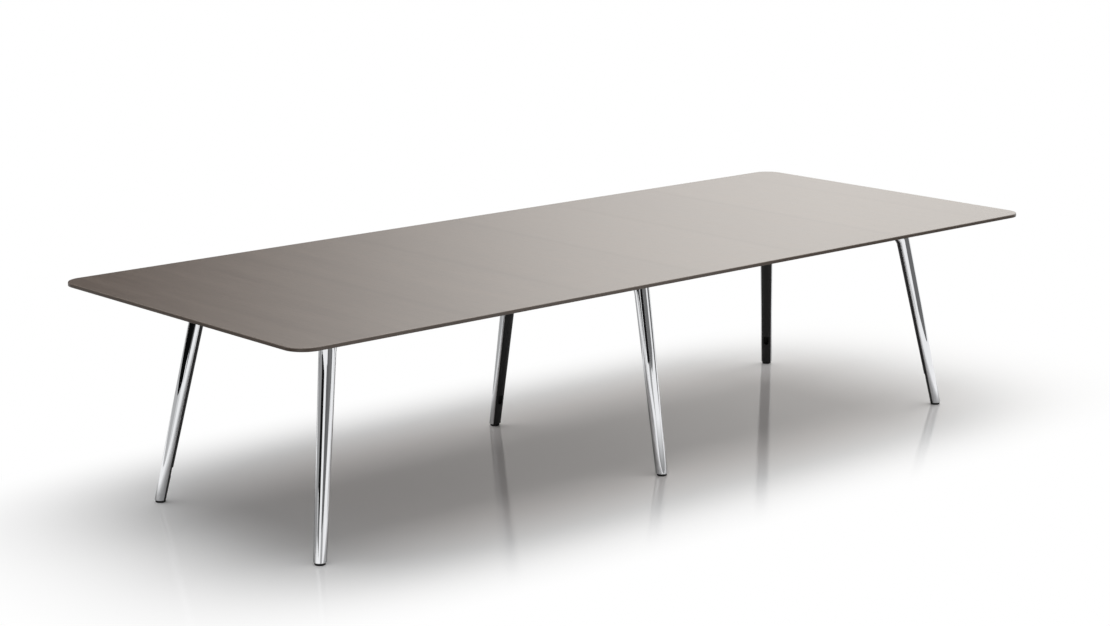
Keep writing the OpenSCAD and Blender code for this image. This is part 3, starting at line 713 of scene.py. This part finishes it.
# Points of a leg's section on its round side, on a lip and in the groove, and the faces of the groove
OUTSIDE_POINTS, LIP_POINTS, GROOVE_POINTS = 61, 6, 21
GROOVE_START = OUTSIDE_POINTS - 1 + LIP_POINTS
GROOVE_FACES = range(GROOVE_START, GROOVE_START + GROOVE_POINTS - 1)
# Sections of a leg below its channel, along it and round the bend, and the height of the lowest
FOOT_RINGS, SHAFT_RINGS, BEND_RINGS = 4, 15, 22
LOWEST_RING = 30.0 * MM


def leg_outline(legs, radius, groove):
    """Section of a leg with its flat, its rounded lips and its cable groove, as inward and across."""
    flat = legs.flat_share * radius
    corner = math.acos(legs.flat_share)
    chord = radius * math.sin(corner)
    ease = legs.lip_rounding
    first, last = corner + ease / radius, 2 * math.pi - corner - ease / radius
    outside = [polar(radius, t) for t in spread(first, last, OUTSIDE_POINTS)]
    far_lip = eased(outside[-1], (flat, -chord), (flat, ease - chord), LIP_POINTS)
    near_lip = eased((flat, chord - ease), (flat, chord), outside[0], LIP_POINTS)
    half = math.sqrt(legs.channel_radius ** 2 - (flat - legs.channel_offset) ** 2)
    open_angle = math.atan2(half, flat - legs.channel_offset)
    if groove:
        turns = spread(2 * math.pi - open_angle, open_angle, GROOVE_POINTS)
        bottom = [polar(legs.channel_radius, t) for t in turns]
        channel = [(legs.channel_offset + inward, across) for inward, across in bottom]
    else:
        channel = [(flat, across) for across in spread(-half, half, GROOVE_POINTS)]
    return outside[:-1] + far_lip + channel + near_lip[:-1]


def add_shaft(mesh, shape):
    """The shaft with its bend and the bore for the glide."""
    legs = shape.legs
    bottom, edge = LEG_LOW.z, legs.foot_edge
    solid = leg_outline(legs, shape.radius(bottom), False)
    foot_ring = [shape.point(v, u, shape.at_height(v, bottom + edge)) for v, u in solid]
    scale = 1.0 - edge / legs.foot_radius
    rim = [shape.point(v * scale, u * scale, shape.at_height(v * scale, bottom)) for v, u in solid]
    inverse = shape.place.inverted()
    turns = [math.atan2(p.x, p.y) for p in (inverse @ point for point in rim)]
    bore = []
    for radius, height in (
        (legs.stem_radius, legs.stem_top), (legs.stem_radius, legs.bush_top),
        (legs.bush_radius, legs.bush_top), (legs.bush_radius, bottom),
    ):
        bore.append([
            shape.place @ Vector((radius * math.sin(t), radius * math.cos(t), height)) for t in turns
        ])
    start = legs.channel_bottom / math.cos(shape.lean)
    rings = bore + [rim, foot_ring]
    for along in spread(LOWEST_RING, start, FOOT_RINGS):
        rings.append(shape.ring(leg_outline(legs, shape.radius(along), False), along))
    for along in spread(start, shape.shaft, SHAFT_RINGS):
        rings.append(shape.ring(leg_outline(legs, shape.radius(along), True), along))
    head = leg_outline(legs, legs.head_radius, True)
    for turn in spread(0.0, math.pi / 2 - shape.lean, BEND_RINGS)[1:]:
        rings.append(shape.bend_ring(head, turn))
    loft(mesh, rings, lined=GROOVE_FACES)


def corner_arm(shape, place, stop):
    """Plan of a corner leg's arm from its bend to where its wings meet, as at the back on the right."""
    legs = shape.legs
    heading = (place.to_3x3() @ Vector((0.0, 1.0, 0.0))).to_2d()
    side = Vector((-heading.y, heading.x))
    start = place.translation.to_2d() + heading * (shape.reach - legs.arm_overlap)
    half = legs.arm_width / 2
    left, right = start - side * half, start + side * half
    left_end = left + heading * ((stop.x - left.x) / heading.x)
    right_end = right + heading * ((stop.y - right.y) / heading.y)
    if left_end.y > right_end.y:
        left_end = left + heading * ((stop.y - left.y) / heading.y)
        right_end = right + heading * ((stop.x - right.x) / heading.x)
    plan = [left, left_end, stop, right_end, right]
    turn = sum(a.x * b.y - b.x * a.y for a, b in zip(plan, plan[1:] + plan[:1]))
    if turn < 0:
        plan.reverse()
    return plan


def add_corner_mount(mesh, shape):
    """The arm and the two bolting wings of a corner leg."""
    legs = shape.legs
    sx, sy = shape.sx, shape.sy
    frame_x, frame_y = RAIL_HIGH.x, RAIL_HIGH.y
    flip = Matrix.Diagonal((sx, sy, 1.0, 1.0))
    low, high = RAIL_LOW.z, LEG_HIGH.z
    height, length, wing = high - low, legs.corner_wing + legs.wing, legs.wing
    outline = [(0.0, 0.0)]
    outline += corner_arc(length - legs.wing_radius, legs.wing_radius, legs.wing_radius, -90.0)
    outline += corner_arc(length - legs.wing_radius, height - legs.wing_radius, legs.wing_radius, 0.0)
    outline += [(0.0, height)]
    holes = [
        circle_loop(at + wing, BOLT_HEIGHT, legs.bolt_hole) for at in (legs.near_bolt, legs.far_bolt)
    ]
    corner = Vector((frame_x + wing, frame_y + wing, low))
    along_x = Matrix.Translation(corner) @ Matrix(((-1, 0, 0), (0, 0, -1), (0, 1, 0))).to_4x4()
    along_y = Matrix.Translation(corner) @ Matrix(((0, 0, -1), (-1, 0, 0), (0, 1, 0))).to_4x4()
    for wing_place in (along_x, along_y):
        slab(mesh, [outline, *holes], wing, legs.casting_edge, flip @ wing_place)
    plan = corner_arm(shape, flip @ shape.place, Vector((frame_x + wing / 2, frame_y + wing / 2)))
    slab(mesh, [plan], legs.arm_width, legs.casting_edge, flip @ Matrix.Translation((0.0, 0.0, low)))


def add_middle_mount(mesh, shape):
    """The arm and the bolting wing of a middle leg."""
    legs = shape.legs
    frame_y = RAIL_HIGH.y
    flip = Matrix.Diagonal((1.0, shape.sy, 1.0, 1.0))
    low, high = RAIL_LOW.z, LEG_HIGH.z
    half, height, radius = legs.middle_wing / 2, high - low, legs.wing_radius
    outline = corner_arc(half - radius, radius, radius, -90.0)
    outline += corner_arc(half - radius, height - radius, radius, 0.0)
    outline += corner_arc(radius - half, height - radius, radius, 90.0)
    outline += corner_arc(radius - half, radius, radius, 180.0)
    holes = [
        circle_loop(sx * legs.bolt_out, BOLT_HEIGHT + sz * legs.bolt_up, legs.bolt_hole)
        for sx in (-1, 1) for sz in (-1, 1)
    ]
    wing_place = flip @ Matrix.Translation((0.0, frame_y + legs.wing, low)) @ UPRIGHT
    slab(mesh, [outline, *holes], legs.wing, legs.casting_edge, wing_place)
    start = legs.foot_y - shape.reach + legs.arm_overlap
    stop = frame_y + legs.wing / 2
    across = legs.arm_width / 2
    plan = [(-across, stop), (across, stop), (across, start), (-across, start)]
    slab(mesh, [plan], legs.arm_width, legs.casting_edge, flip @ Matrix.Translation((0.0, 0.0, low)))


# Points of a cover's section on its crown, on an edge and on its base
CROWN_POINTS, EASE_POINTS, BASE_POINTS = 25, 5, 7
# Sections of a strip and of its curved end
STRIP_RINGS, END_RINGS = 12, 14
# Rounded ends of a cover: distance from its end, and the share of its section that is left there
END_ROUNDING = ((0.0, 0.9), (0.3 * MM, 0.96), (1.0 * MM, 1.0))
# Height that the section shrinks to, by the height of the crown over the base
SHRINK_HEIGHT = 0.4


def cover_outline(legs, covers, radius, shrink):
    """Section of a cover with rounded edges, as inward and across."""
    base = legs.flat_share * radius + covers.gap
    sag = (covers.crown_share - legs.flat_share) * radius
    half = covers.half_share * radius
    face = (half ** 2 / sag + sag) / 2
    axis = covers.crown_share * radius - face
    edge = math.acos((base - axis) / face)
    half = face * math.sin(edge)
    ease = covers.rounding
    turns = spread(-edge + ease / face, edge - ease / face, CROWN_POINTS)
    arc = [(axis + inward, across) for inward, across in (polar(face, t) for t in turns)]
    near = eased(arc[-1], (base, half), (base, half - ease), EASE_POINTS)
    far = eased((base, ease - half), (base, -half), arc[0], EASE_POINTS)
    under = [(base, across) for across in spread(half - ease, ease - half, BASE_POINTS)]
    outline = arc[:-1] + near[:-1] + under + far[1:-1]
    middle = base + sag * SHRINK_HEIGHT
    return [(middle + (v - middle) * shrink, u * shrink) for v, u in outline]


def rounded_ends(length, places, radius=1.0):
    """Places along a strip, or turns round a bend of a radius, with the share of the section at each."""
    first = [(step / radius, shrink) for step, shrink in END_ROUNDING]
    last = [(length - step, shrink) for step, shrink in reversed(first)]
    return first + [(at, 1.0) for at in spread(0.0, length, places)[1:-1]] + last


# Studio

# Lamps: name, width and depth, place, tilt toward the table in degrees, and whether metal mirrors it
LAMPS = (
    ("ceiling", (8.0, 6.0), (0.3, 0.15, 4.6), 0.0, True),
    ("side", (6.0, 3.0), (7.0, 0.0, 2.6), 72.0, False),
)
# Dark curtain behind the table: azimuth in degrees, and strength
CURTAIN = (
    (0, 0.0), (18, 0.0), (36, 0.0), (42, 0.09), (47, 0.22), (50, 0.32), (53, 0.44), (56, 0.55),
    (59, 0.67), (62, 0.79), (66, 0.90), (70, 1.0), (80, 1.0), (90, 1.0), (100, 1.0), (110, 1.0),
    (120, 1.0), (135, 0.5), (150, 0.0),
)
# Cards: grey level, strength of the upper edge, then the corners, turning left as the table sees them
CARDS = (
    (0.004, 1.0, (-2.6, 0.03, 0.22), (-2.6, 2.3, 0.36), (-2.6, 2.3, 0.75), (-2.6, 0.03, 0.75)),
    (0.50, 1.0, (-2.6, 0.55, 0.0), (-2.6, 2.3, 0.0), (-2.6, 2.3, 0.36), (-2.6, 0.55, 0.25)),
    (0.72, 1.0, (-2.6, 0.03, 0.0), (-2.6, 0.55, 0.0), (-2.6, 0.55, 0.25), (-2.6, 0.03, 0.22)),
    (0.50, 1.0, (-2.6, 2.3, 0.0), (-0.9, 3.2, 0.0), (-0.9, 3.2, 0.4), (-2.6, 2.3, 0.36)),
    (0.34, 1.0, (-2.6, -0.05, 0.0), (-1.55, -0.05, 0.0), (-1.55, -0.05, 0.7), (-2.6, -0.05, 0.7)),
    (0.008, 1.0, (-2.6, -0.90, 0.28), (-2.6, 0.03, 0.28), (-2.6, 0.03, 0.8), (-2.6, -0.90, 0.8)),
    (0.18, 1.0, (-2.6, -0.90, 0.14), (-2.6, -0.20, 0.14), (-2.6, -0.20, 0.28), (-2.6, -0.90, 0.28)),
    (0.008, 1.0, (-0.79, -1.34, 0.38), (-1.16, -0.75, 0.28), (-1.16, -0.75, 0.75), (-0.79, -1.34, 0.75)),
    (0.14, 1.0, (-1.63, -2.95, 0.30), (-2.57, -1.92, 0.30), (-2.57, -1.92, 0.95), (-1.63, -2.95, 0.95)),
    (0.42, 1.0, (-1.63, -2.95, 0.12), (-2.57, -1.92, 0.12), (-2.57, -1.92, 0.30), (-1.63, -2.95, 0.30)),
    (0.18, 1.0, (1.75, -5.74, 0.58), (-3.0, -5.2, 0.38), (-3.0, -5.2, 1.9), (1.75, -5.74, 1.9)),
    (0.16, 1.0, (5.5, -1.6, 0.15), (1.1, -1.6, 0.15), (1.1, -1.6, 0.95), (5.5, -1.6, 0.95)),
    (0.12, 1.0, (6.0, -6.5, 2.4), (-8.0, -5.0, 2.4), (-8.0, -5.0, 7.0), (6.0, -6.5, 7.0)),
    (0.12, 1.0, (-3.0, -5.3, 1.3), (-4.3, -5.1, 1.3), (-4.3, -5.1, 2.6), (-3.0, -5.3, 2.6)),
    (0.26, 0.0, (0.7, -1.05, 0.0), (-0.7, -1.05, 0.0), (-0.7, -1.05, 0.2), (0.7, -1.05, 0.2)),
    (0.42, 1.0, (-1.3, 0.95, 0.004), (1.3, 0.95, 0.004), (1.3, 3.4, 0.004), (-1.3, 3.4, 0.004)),
)


# Operators

class TABLE_OT_stage(bpy.types.Operator):
    """Makes the camera, the lights, the floor and the flags of the studio"""
    bl_idname = "table.stage"
    bl_label = "Studio"

    def execute(self, context):
        scene = context.scene
        stage = scene.table_stage
        camera = bpy.data.objects.new("camera", bpy.data.cameras.new("camera"))
        camera.data.sensor_fit = "HORIZONTAL"
        camera.data.sensor_width = stage.sensor
        camera.data.lens = stage.lens
        camera.data.clip_end = stage.view_depth
        camera.location = stage.eye
        camera.rotation_euler = (stage.tilt, 0.0, stage.heading)
        scene.collection.objects.link(camera)
        scene.camera = camera
        scene.view_settings.view_transform = "Standard"
        self.make_world(scene, stage)
        for lamp in LAMPS:
            self.make_lamp(scene, stage, *lamp)
        self.make_floor(scene, stage)
        self.make_flags(scene, stage)
        return {"FINISHED"}

    def make_world(self, scene, stage):
        """White for the camera and for what shines, and a plain level of light for the rest."""
        scene.world = bpy.data.worlds.new("studio")
        tree = empty_tree(scene.world)
        seen = shader(tree, "ShaderNodeBackground", Color=WHITE, Strength=1.0)
        light = shader(tree, "ShaderNodeBackground", Color=WHITE, Strength=stage.ambient)
        mixed = blend_shaders(tree, seen_ray(tree), light, seen)
        add_node(tree, "ShaderNodeOutputWorld", {"Surface": mixed})

    def make_lamp(self, scene, stage, name, extent, place, tilt, mirrored):
        """A soft panel of light."""
        lamp = bpy.data.lights.new(f"{name} light", "AREA")
        lamp.shape = "RECTANGLE"
        lamp.size, lamp.size_y = extent
        lamp.energy = getattr(stage, name)
        panel = bpy.data.objects.new(f"{name} light", lamp)
        panel.location = place
        panel.rotation_euler.y = math.radians(tilt)
        panel.visible_camera = False
        panel.visible_glossy = mirrored
        scene.collection.objects.link(panel)

    def add_object(self, scene, name, mesh):
        """An object of the studio from a finished mesh, with the tree of its own material."""
        data = bpy.data.meshes.new(name)
        mesh.to_mesh(data)
        mesh.free()
        made = bpy.data.objects.new(name, data)
        scene.collection.objects.link(made)
        data.materials.append(bpy.data.materials.new(f"studio {name}"))
        return made, empty_tree(data.materials[0])

    def make_floor(self, scene, stage):
        """A pale floor with a faint sheen, open from below."""
        mesh = bmesh.new()
        bmesh.ops.create_circle(mesh, cap_ends=True, segments=96, radius=stage.floor_radius)
        floor, tree = self.add_object(scene, "floor", mesh)
        place = object_place(tree)
        # distance from the middle of the shade, in steps that are rectangles with round corners
        around = stretched(
            tree, place, (1.0 / stage.shadow_x, 1.0 / stage.shadow_y, 1.0),
            (-stage.shadow_shift / stage.shadow_x, 0.0, 0.0))
        around = vector_maths(tree, "MULTIPLY", around, around)
        away = maths(tree, "SQRT", vector_maths(tree, "LENGTH", around))
        colours = scene.table_finishes
        # painted warm bounce light: warmer floor colour in the middle of the table's shadow, fading
        # toward its edge
        outer = ramp(tree, away, stage.core_start, stage.core_stop)
        tone = blend_colours(tree, outer, colours.floor_painted_bounce, colours.floor)
        base = shader(tree, "ShaderNodeBsdfDiffuse", Color=tone)
        extra = shader(tree, "ShaderNodeBsdfDiffuse", Color=rgba([stage.floor_lift] * 3))
        shown = add_node(tree, "ShaderNodeAddShader", {0: base, 1: extra}).outputs[0]
        # a sharp polish, blurred by a fine grain and not by roughness, so that it mirrors no card
        slope = stage.floor_grain
        grain = add_node(tree, "ShaderNodeTexWhiteNoise", {"Vector": place}).outputs["Color"]
        normal = vector_maths(
            tree, "MULTIPLY_ADD", grain, (2.0 * slope, 2.0 * slope, 0.0), (-slope, -slope, 1.0))
        normal = vector_maths(tree, "NORMALIZE", normal)
        sheen = shader(tree, "ShaderNodeBsdfGlossy", Color=WHITE, Roughness=0.0, Normal=normal)
        gloss = add_node(tree, "ShaderNodeFresnel", {"IOR": stage.floor_ior}).outputs["Fac"]
        shown = blend_shaders(tree, gloss, shown, sheen)
        # beyond the table's shadow the camera sees plain white
        far = ramp(tree, away, stage.shade_start, stage.shade_stop, kind="SMOOTHSTEP")
        plain = shader(tree, "ShaderNodeEmission", Color=WHITE, Strength=1.0)
        shown = blend_shaders(tree, far, shown, plain)
        # what mirrors sees the floor darker round the feet
        dark = shader(tree, "ShaderNodeEmission", Strength=0.0)
        mirrored = add_node(tree, "ShaderNodeLightPath").outputs["Is Glossy Ray"]
        shade = maths(tree, "MULTIPLY", mirrored, self.near_feet(tree, place, stage))
        shown = blend_shaders(tree, shade, shown, dark)
        body = blend_shaders(tree, seen_ray(tree), base, shown)
        below = add_node(tree, "ShaderNodeNewGeometry").outputs["Backfacing"]
        body = blend_shaders(tree, below, body, shader(tree, "ShaderNodeBsdfTransparent"))
        add_node(tree, "ShaderNodeOutputMaterial", {"Surface": body})

    def near_feet(self, tree, place, stage):
        """A shade that is deepest at each foot. The four quarters of the table are alike."""
        folded = vector_maths(tree, "ABSOLUTE", place)
        feet = ((PAD_MIDDLE.x, PAD_MIDDLE.y, 0.0), (0.0, PAD_MIDDLE.y, 0.0))
        nearest = maths(tree, "MINIMUM", *(vector_maths(tree, "DISTANCE", folded, foot) for foot in feet))
        return ramp(tree, nearest, stage.foot_near, stage.foot_far, stage.foot_shade, 0.0, "SMOOTHSTEP")

    def make_flags(self, scene, stage):
        """A dark curtain behind and one-sided cards round the table, which only what mirrors sees."""
        mesh = bmesh.new()
        layers = [mesh.verts.layers.float.new(name) for name in ("shade", "cover", "curtain")]

        def corner(place, *levels):
            made = mesh.verts.new(place)
            for layer, level in zip(layers, levels):
                made[layer] = level
            return made

        columns = []
        for azimuth, strength in CURTAIN:
            x, y = polar(stage.curtain_radius, math.radians(azimuth))
            heights = (0.0, stage.curtain_height)
            columns.append([corner((x, y, z), stage.curtain_grey, strength, 1.0) for z in heights])
        for right, left in zip(columns, columns[1:]):
            mesh.faces.new((left[0], right[0], right[1], left[1]))
        for grey, upper, *corners in CARDS:
            strengths = (1.0, 1.0, upper, upper)
            mesh.faces.new([corner(place, grey, level, 0.0) for place, level in zip(corners, strengths)])
        flags, tree = self.add_object(scene, "flags", mesh)
        behind = add_node(tree, "ShaderNodeNewGeometry").outputs["Backfacing"]
        strength = maths(tree, "MULTIPLY", attribute(tree, "cover"), maths(tree, "SUBTRACT", 1.0, behind))
        # the floor's polish mirrors the curtain, but no card
        polish = add_node(tree, "ShaderNodeLightPath").outputs["Is Singular Ray"]
        curtain = attribute(tree, "curtain")
        kept = maths(tree, "MAXIMUM", curtain, maths(tree, "SUBTRACT", 1.0, polish))
        strength = maths(tree, "MULTIPLY", strength, kept)
        cloth = shader(tree, "ShaderNodeEmission", Color=WHITE, Strength=attribute(tree, "shade"))
        tint = blend_colours(tree, curtain, WHITE[:3], scene.table_finishes.haze)
        clear = shader(tree, "ShaderNodeBsdfTransparent", Color=tint)
        mixed = blend_shaders(tree, strength, clear, cloth)
        add_node(tree, "ShaderNodeOutputMaterial", {"Surface": mixed})
        for ray in ("camera", "diffuse", "shadow", "transmission"):
            setattr(flags, f"visible_{ray}", False)


# Points of a corner of the top, and of the lower and the upper arris of its edge
CORNER_POINTS, LOWER_POINTS, UPPER_POINTS = 25, 6, 8
# More points of that edge: underneath, by the rounding, and up its face, by the height
UNDERNEATH, UP_THE_FACE = 1.6, (0.3, 0.6)


class TABLE_OT_top(bpy.types.Operator):
    """Makes the rounded edge band of the top"""
    bl_idname = "table.top"
    bl_label = "Edge of the top"

    def execute(self, context):
        top = context.scene.table_top
        path, section = self.make_path(top), self.make_section(top)
        lengths, heights = distances([here for here, _ in path]), distances(section)
        mesh = bmesh.new()
        uv = mesh.loops.layers.uv.new("edge")
        rings = []
        for here, out in path:
            rings.append([mesh.verts.new((*(here - out * inset), z)) for inset, z in section])
        count = len(section)
        for i, ring in enumerate(rings):
            following = rings[(i + 1) % len(rings)]
            for j in range(count):
                k = (j + 1) % count
                face = mesh.faces.new((ring[j], following[j], following[k], ring[k]))
                corners = ((i, j), (i + 1, j), (i + 1, j + 1), (i, j + 1))
                for loop, (along, up) in zip(face.loops, corners):
                    loop[uv].uv = (lengths[along], heights[up])
        new_piece("edge_lipping", mesh, "table", "edge", ["edge_band"], 40.0)
        return {"FINISHED"}

    def make_path(self, top):
        """The outline of the top: points in plan, each with its direction outward."""
        radius = top.corner_radius
        path = []
        for sx, sy, start in ((1, 1, 0), (-1, 1, 90), (-1, -1, 180), (1, -1, 270)):
            centre = Vector((sx * (EDGE_HIGH.x - radius), sy * (EDGE_HIGH.y - radius)))
            for t in spread(start, start + 90, CORNER_POINTS):
                out = Vector(polar(1.0, math.radians(t)))
                path.append((centre + out * radius, out))
        return path

    def make_section(self, top):
        """The section of the band, from below to above, as distance from the outline and height."""
        low, high, ease = EDGE_LOW.z, EDGE_HIGH.z, top.rounding
        section = [(top.band, low), (ease * UNDERNEATH, low)]
        section += eased((ease, low), (0.0, low), (0.0, low + ease), LOWER_POINTS)
        section += [(0.0, low + (high - low) * t) for t in UP_THE_FACE]
        fall = (0.0, high - top.upper_fall)
        section += eased(fall, (0.0, high), (top.upper_rounding, high), UPPER_POINTS)
        section += [(top.band, high)]
        return [Vector(point) for point in section]


class TABLE_OT_legs(bpy.types.Operator):
    """Makes the six polished legs"""
    bl_idname = "table.legs"
    bl_label = "Polished legs"

    def execute(self, context):
        for place in PLACES:
            shape = LegShape(context.scene.table_legs, place)
            mesh = bmesh.new()
            add_shaft(mesh, shape)
            if shape.sx:
                add_corner_mount(mesh, shape)
            else:
                add_middle_mount(mesh, shape)
            replaced = [f"leg_{place}"]
            name = f"polished_leg_{place}"
            new_piece(name, mesh, "table", "polished_metal", replaced, lining="channel")
        return {"FINISHED"}


class TABLE_OT_covers(bpy.types.Operator):
    """Makes the black strips and their curved ends"""
    bl_idname = "table.covers"
    bl_label = "Black covers"

    def execute(self, context):
        covers = context.scene.table_covers
        for place in PLACES:
            shape = LegShape(context.scene.table_legs, place)
            self.make_strip(shape, covers, place)
            self.make_end(shape, covers, place)
        return {"FINISHED"}

    def make_strip(self, shape, covers, place):
        """The straight strip with its snap lugs."""
        legs = shape.legs
        first = covers.bottom / math.cos(shape.lean)
        last = shape.shaft - covers.gap
        rings = []
        for step, shrink in rounded_ends(last - first, STRIP_RINGS):
            outline = cover_outline(legs, covers, shape.radius(first + step), shrink)
            rings.append(shape.ring(outline, first + step))
        mesh = bmesh.new()
        loft(mesh, rings)
        step = (last - first) / covers.lugs
        half = covers.lug_half
        plan = [(-half, 0.0), (half, 0.0), (half, covers.lug_length), (-half, covers.lug_length)]
        for i in range(covers.lugs):
            along = first + (i + 0.5) * step
            seat = legs.flat_share * shape.radius(along)
            tilt = Matrix.Rotation(-shape.lean, 4, "X")
            at = Matrix.Translation((0.0, seat + covers.lug_root, along - covers.lug_length / 2))
            depth = covers.lug_depth + covers.lug_root
            slab(mesh, [plan], depth, covers.lug_edge, shape.place @ tilt @ at @ UPRIGHT)
        new_piece(f"cover_strip_{place}", mesh, "table", "cover", [f"leg_cover_{place}"])

    def make_end(self, shape, covers, place):
        """The curved end round the bend."""
        legs = shape.legs
        total = math.pi / 2 - shape.lean - covers.entry
        inner = legs.bend_radius - legs.flat_share * legs.head_radius
        rings = []
        for turn, shrink in rounded_ends(total, END_RINGS, inner):
            outline = cover_outline(legs, covers, legs.head_radius, shrink)
            rings.append(shape.bend_ring(outline, turn))
        mesh = bmesh.new()
        loft(mesh, rings)
        new_piece(f"cover_end_{place}", mesh, "table", "cover", [f"bend_cover_{place}"])


# Points round a pad, on one of its roundings and round a stem, and sections of one turn of thread
PAD_POINTS, ROUNDING_POINTS, STEM_POINTS, THREAD_RINGS = 64, 6, 24, 6
# Steepness of the thread's sides, which leaves a flat crest, and its depth at the upper end
CREST, LAST_THREAD = 1.15, 0.1


class TABLE_OT_glides(bpy.types.Operator):
    """Makes the pads and the threaded stems of the levelling glides"""
    bl_idname = "table.glides"
    bl_label = "Levelling glides"

    def execute(self, context):
        glides = context.scene.table_glides
        for place in PLACES:
            shape = LegShape(context.scene.table_legs, place)
            foot = Matrix.Translation(shape.place.translation)
            self.make_pad(glides, foot, place)
            self.make_stem(glides, foot, place)
        return {"FINISHED"}

    def make_pad(self, glides, foot, place):
        """A turned pad with rounded edges and the pocket of the stem's disc."""
        radius, height = glides.pad_radius, glides.pad_height
        pocket = glides.disc_radius + glides.swivel_gap
        mouth = glides.stem_radius + glides.swivel_gap
        roof = glides.pad_floor + glides.disc_height + 2 * glides.swivel_gap
        inside = radius - glides.groove_depth
        section = [(glides.centre, 0.0), (radius * 0.5, 0.0)]
        section += eased(
            (radius - glides.lower_width, 0.0), (radius - glides.lower_corner, 0.0),
            (radius, glides.lower_height), ROUNDING_POINTS)
        section += [(radius, glides.groove_low), (inside, glides.groove_low + glides.groove_edge)]
        section += [(inside, glides.groove_high - glides.groove_edge), (radius, glides.groove_high)]
        section += eased(
            (radius, height - glides.upper_height), (radius, height),
            (radius - glides.upper_width, height), ROUNDING_POINTS)
        section += [(mouth + glides.mouth_width, height), (mouth, height - glides.chamfer), (mouth, roof)]
        section += [(pocket, roof), (pocket, glides.pad_floor), (glides.centre, glides.pad_floor)]
        mesh = bmesh.new()
        turned(mesh, [[(r, t, z) for t in turns_round(PAD_POINTS)] for r, z in section], foot)
        new_piece(f"foot_pad_{place}", mesh, f"pad_{place}", "pad", [f"glide_pad_{place}"])

    def make_stem(self, glides, foot, place):
        """A threaded stem with its disc and its hexagon socket."""
        low = glides.pad_floor + glides.swivel_gap
        shoulder = low + glides.disc_height
        turns = turns_round(STEM_POINTS)
        wide, chamfer = glides.disc_radius, glides.chamfer
        plain = [(glides.centre, low), (wide - chamfer, low), (wide, low + chamfer)]
        plain += [(wide, shoulder - chamfer), (wide - chamfer, shoulder)]
        root = glides.stem_radius - glides.thread_depth
        plain += [(root, shoulder)]
        rings = [[(r, t, z) for t in turns] for r, z in plain]
        pitch, thread_low, thread_high = glides.pitch, shoulder + glides.thread_start, glides.stem_top
        steps = int((thread_high - thread_low) / (pitch / THREAD_RINGS))
        for z in spread(thread_low, thread_high, steps + 1):
            ends = min((z - thread_low) / pitch, (thread_high - z) / pitch + LAST_THREAD, 1.0)
            ring = []
            for t in turns:
                phase = (z / pitch - t / (2 * math.pi)) % 1.0
                crest = min((1.0 - abs(2.0 * phase - 1.0)) * CREST, 1.0)
                ring.append((root + glides.thread_depth * crest * ends, t, z))
            rings.append(ring)
        for depth in (0.0, glides.socket_depth):
            ring = []
            for t in turns:
                off = (t % (math.pi / 3)) - math.pi / 6
                reach = glides.socket_radius * math.cos(math.pi / 6) / math.cos(off)
                ring.append((reach, t, glides.stem_top - depth))
            rings.append(ring)
        mesh = bmesh.new()
        turned(mesh, rings, foot)
        new_piece(f"threaded_stem_{place}", mesh, f"stem_{place}", "steel", [f"glide_stem_{place}"], 40.0)


class TABLE_OT_frame(bpy.types.Operator):
    """Gives the board, the veneer, the frame and the fasteners their finishes"""
    bl_idname = "table.frame"
    bl_label = "Board, frame and fasteners"

    def execute(self, context):
        slots = {part["node"]: part["material_slot"] for part in frame["record"]["subparts"]}
        for name, solid in frame["nodes"].items():
            solid.material_slots[0].material = finish_of(slots[name])
        return {"FINISHED"}


class TABLE_PT_panel(bpy.types.Panel):
    """Lists the steps and the sizes of the table"""
    bl_idname = "TABLE_PT_panel"
    bl_label = "Conference table"
    bl_space_type = "VIEW_3D"
    bl_region_type = "UI"
    bl_category = "Table"

    def draw(self, context):
        for operator in OPERATORS:
            self.layout.operator(operator.bl_idname)
        for name in GROUPS:
            box = self.layout.box()
            group = getattr(context.scene, name)
            for key in group.__annotations__:
                box.prop(group, key)


GROUPS = {
    "table_top": TopSizes, "table_legs": LegSizes, "table_covers": CoverSizes,
    "table_glides": GlideSizes, "table_finishes": Finishes, "table_stage": StageSizes,
}
OPERATORS = (
    TABLE_OT_stage, TABLE_OT_top, TABLE_OT_legs, TABLE_OT_covers, TABLE_OT_glides, TABLE_OT_frame,
)


def register():
    """Registers the sizes, the steps and the panel."""
    for name, group in GROUPS.items():
        bpy.utils.register_class(group)
        setattr(bpy.types.Scene, name, PointerProperty(type=group))
    for operator in OPERATORS:
        bpy.utils.register_class(operator)
    bpy.utils.register_class(TABLE_PT_panel)


def unregister():
    """Takes all of it out again."""
    bpy.utils.unregister_class(TABLE_PT_panel)
    for operator in reversed(OPERATORS):
        bpy.utils.unregister_class(operator)
    for name, group in GROUPS.items():
        delattr(bpy.types.Scene, name)
        bpy.utils.unregister_class(group)


def main():
    """Makes every piece in order."""
    register()
    bpy.ops.table.stage()
    bpy.ops.table.top()
    bpy.ops.table.legs()
    bpy.ops.table.covers()
    bpy.ops.table.glides()
    bpy.ops.table.frame()


if __name__ == "__main__":
    main()
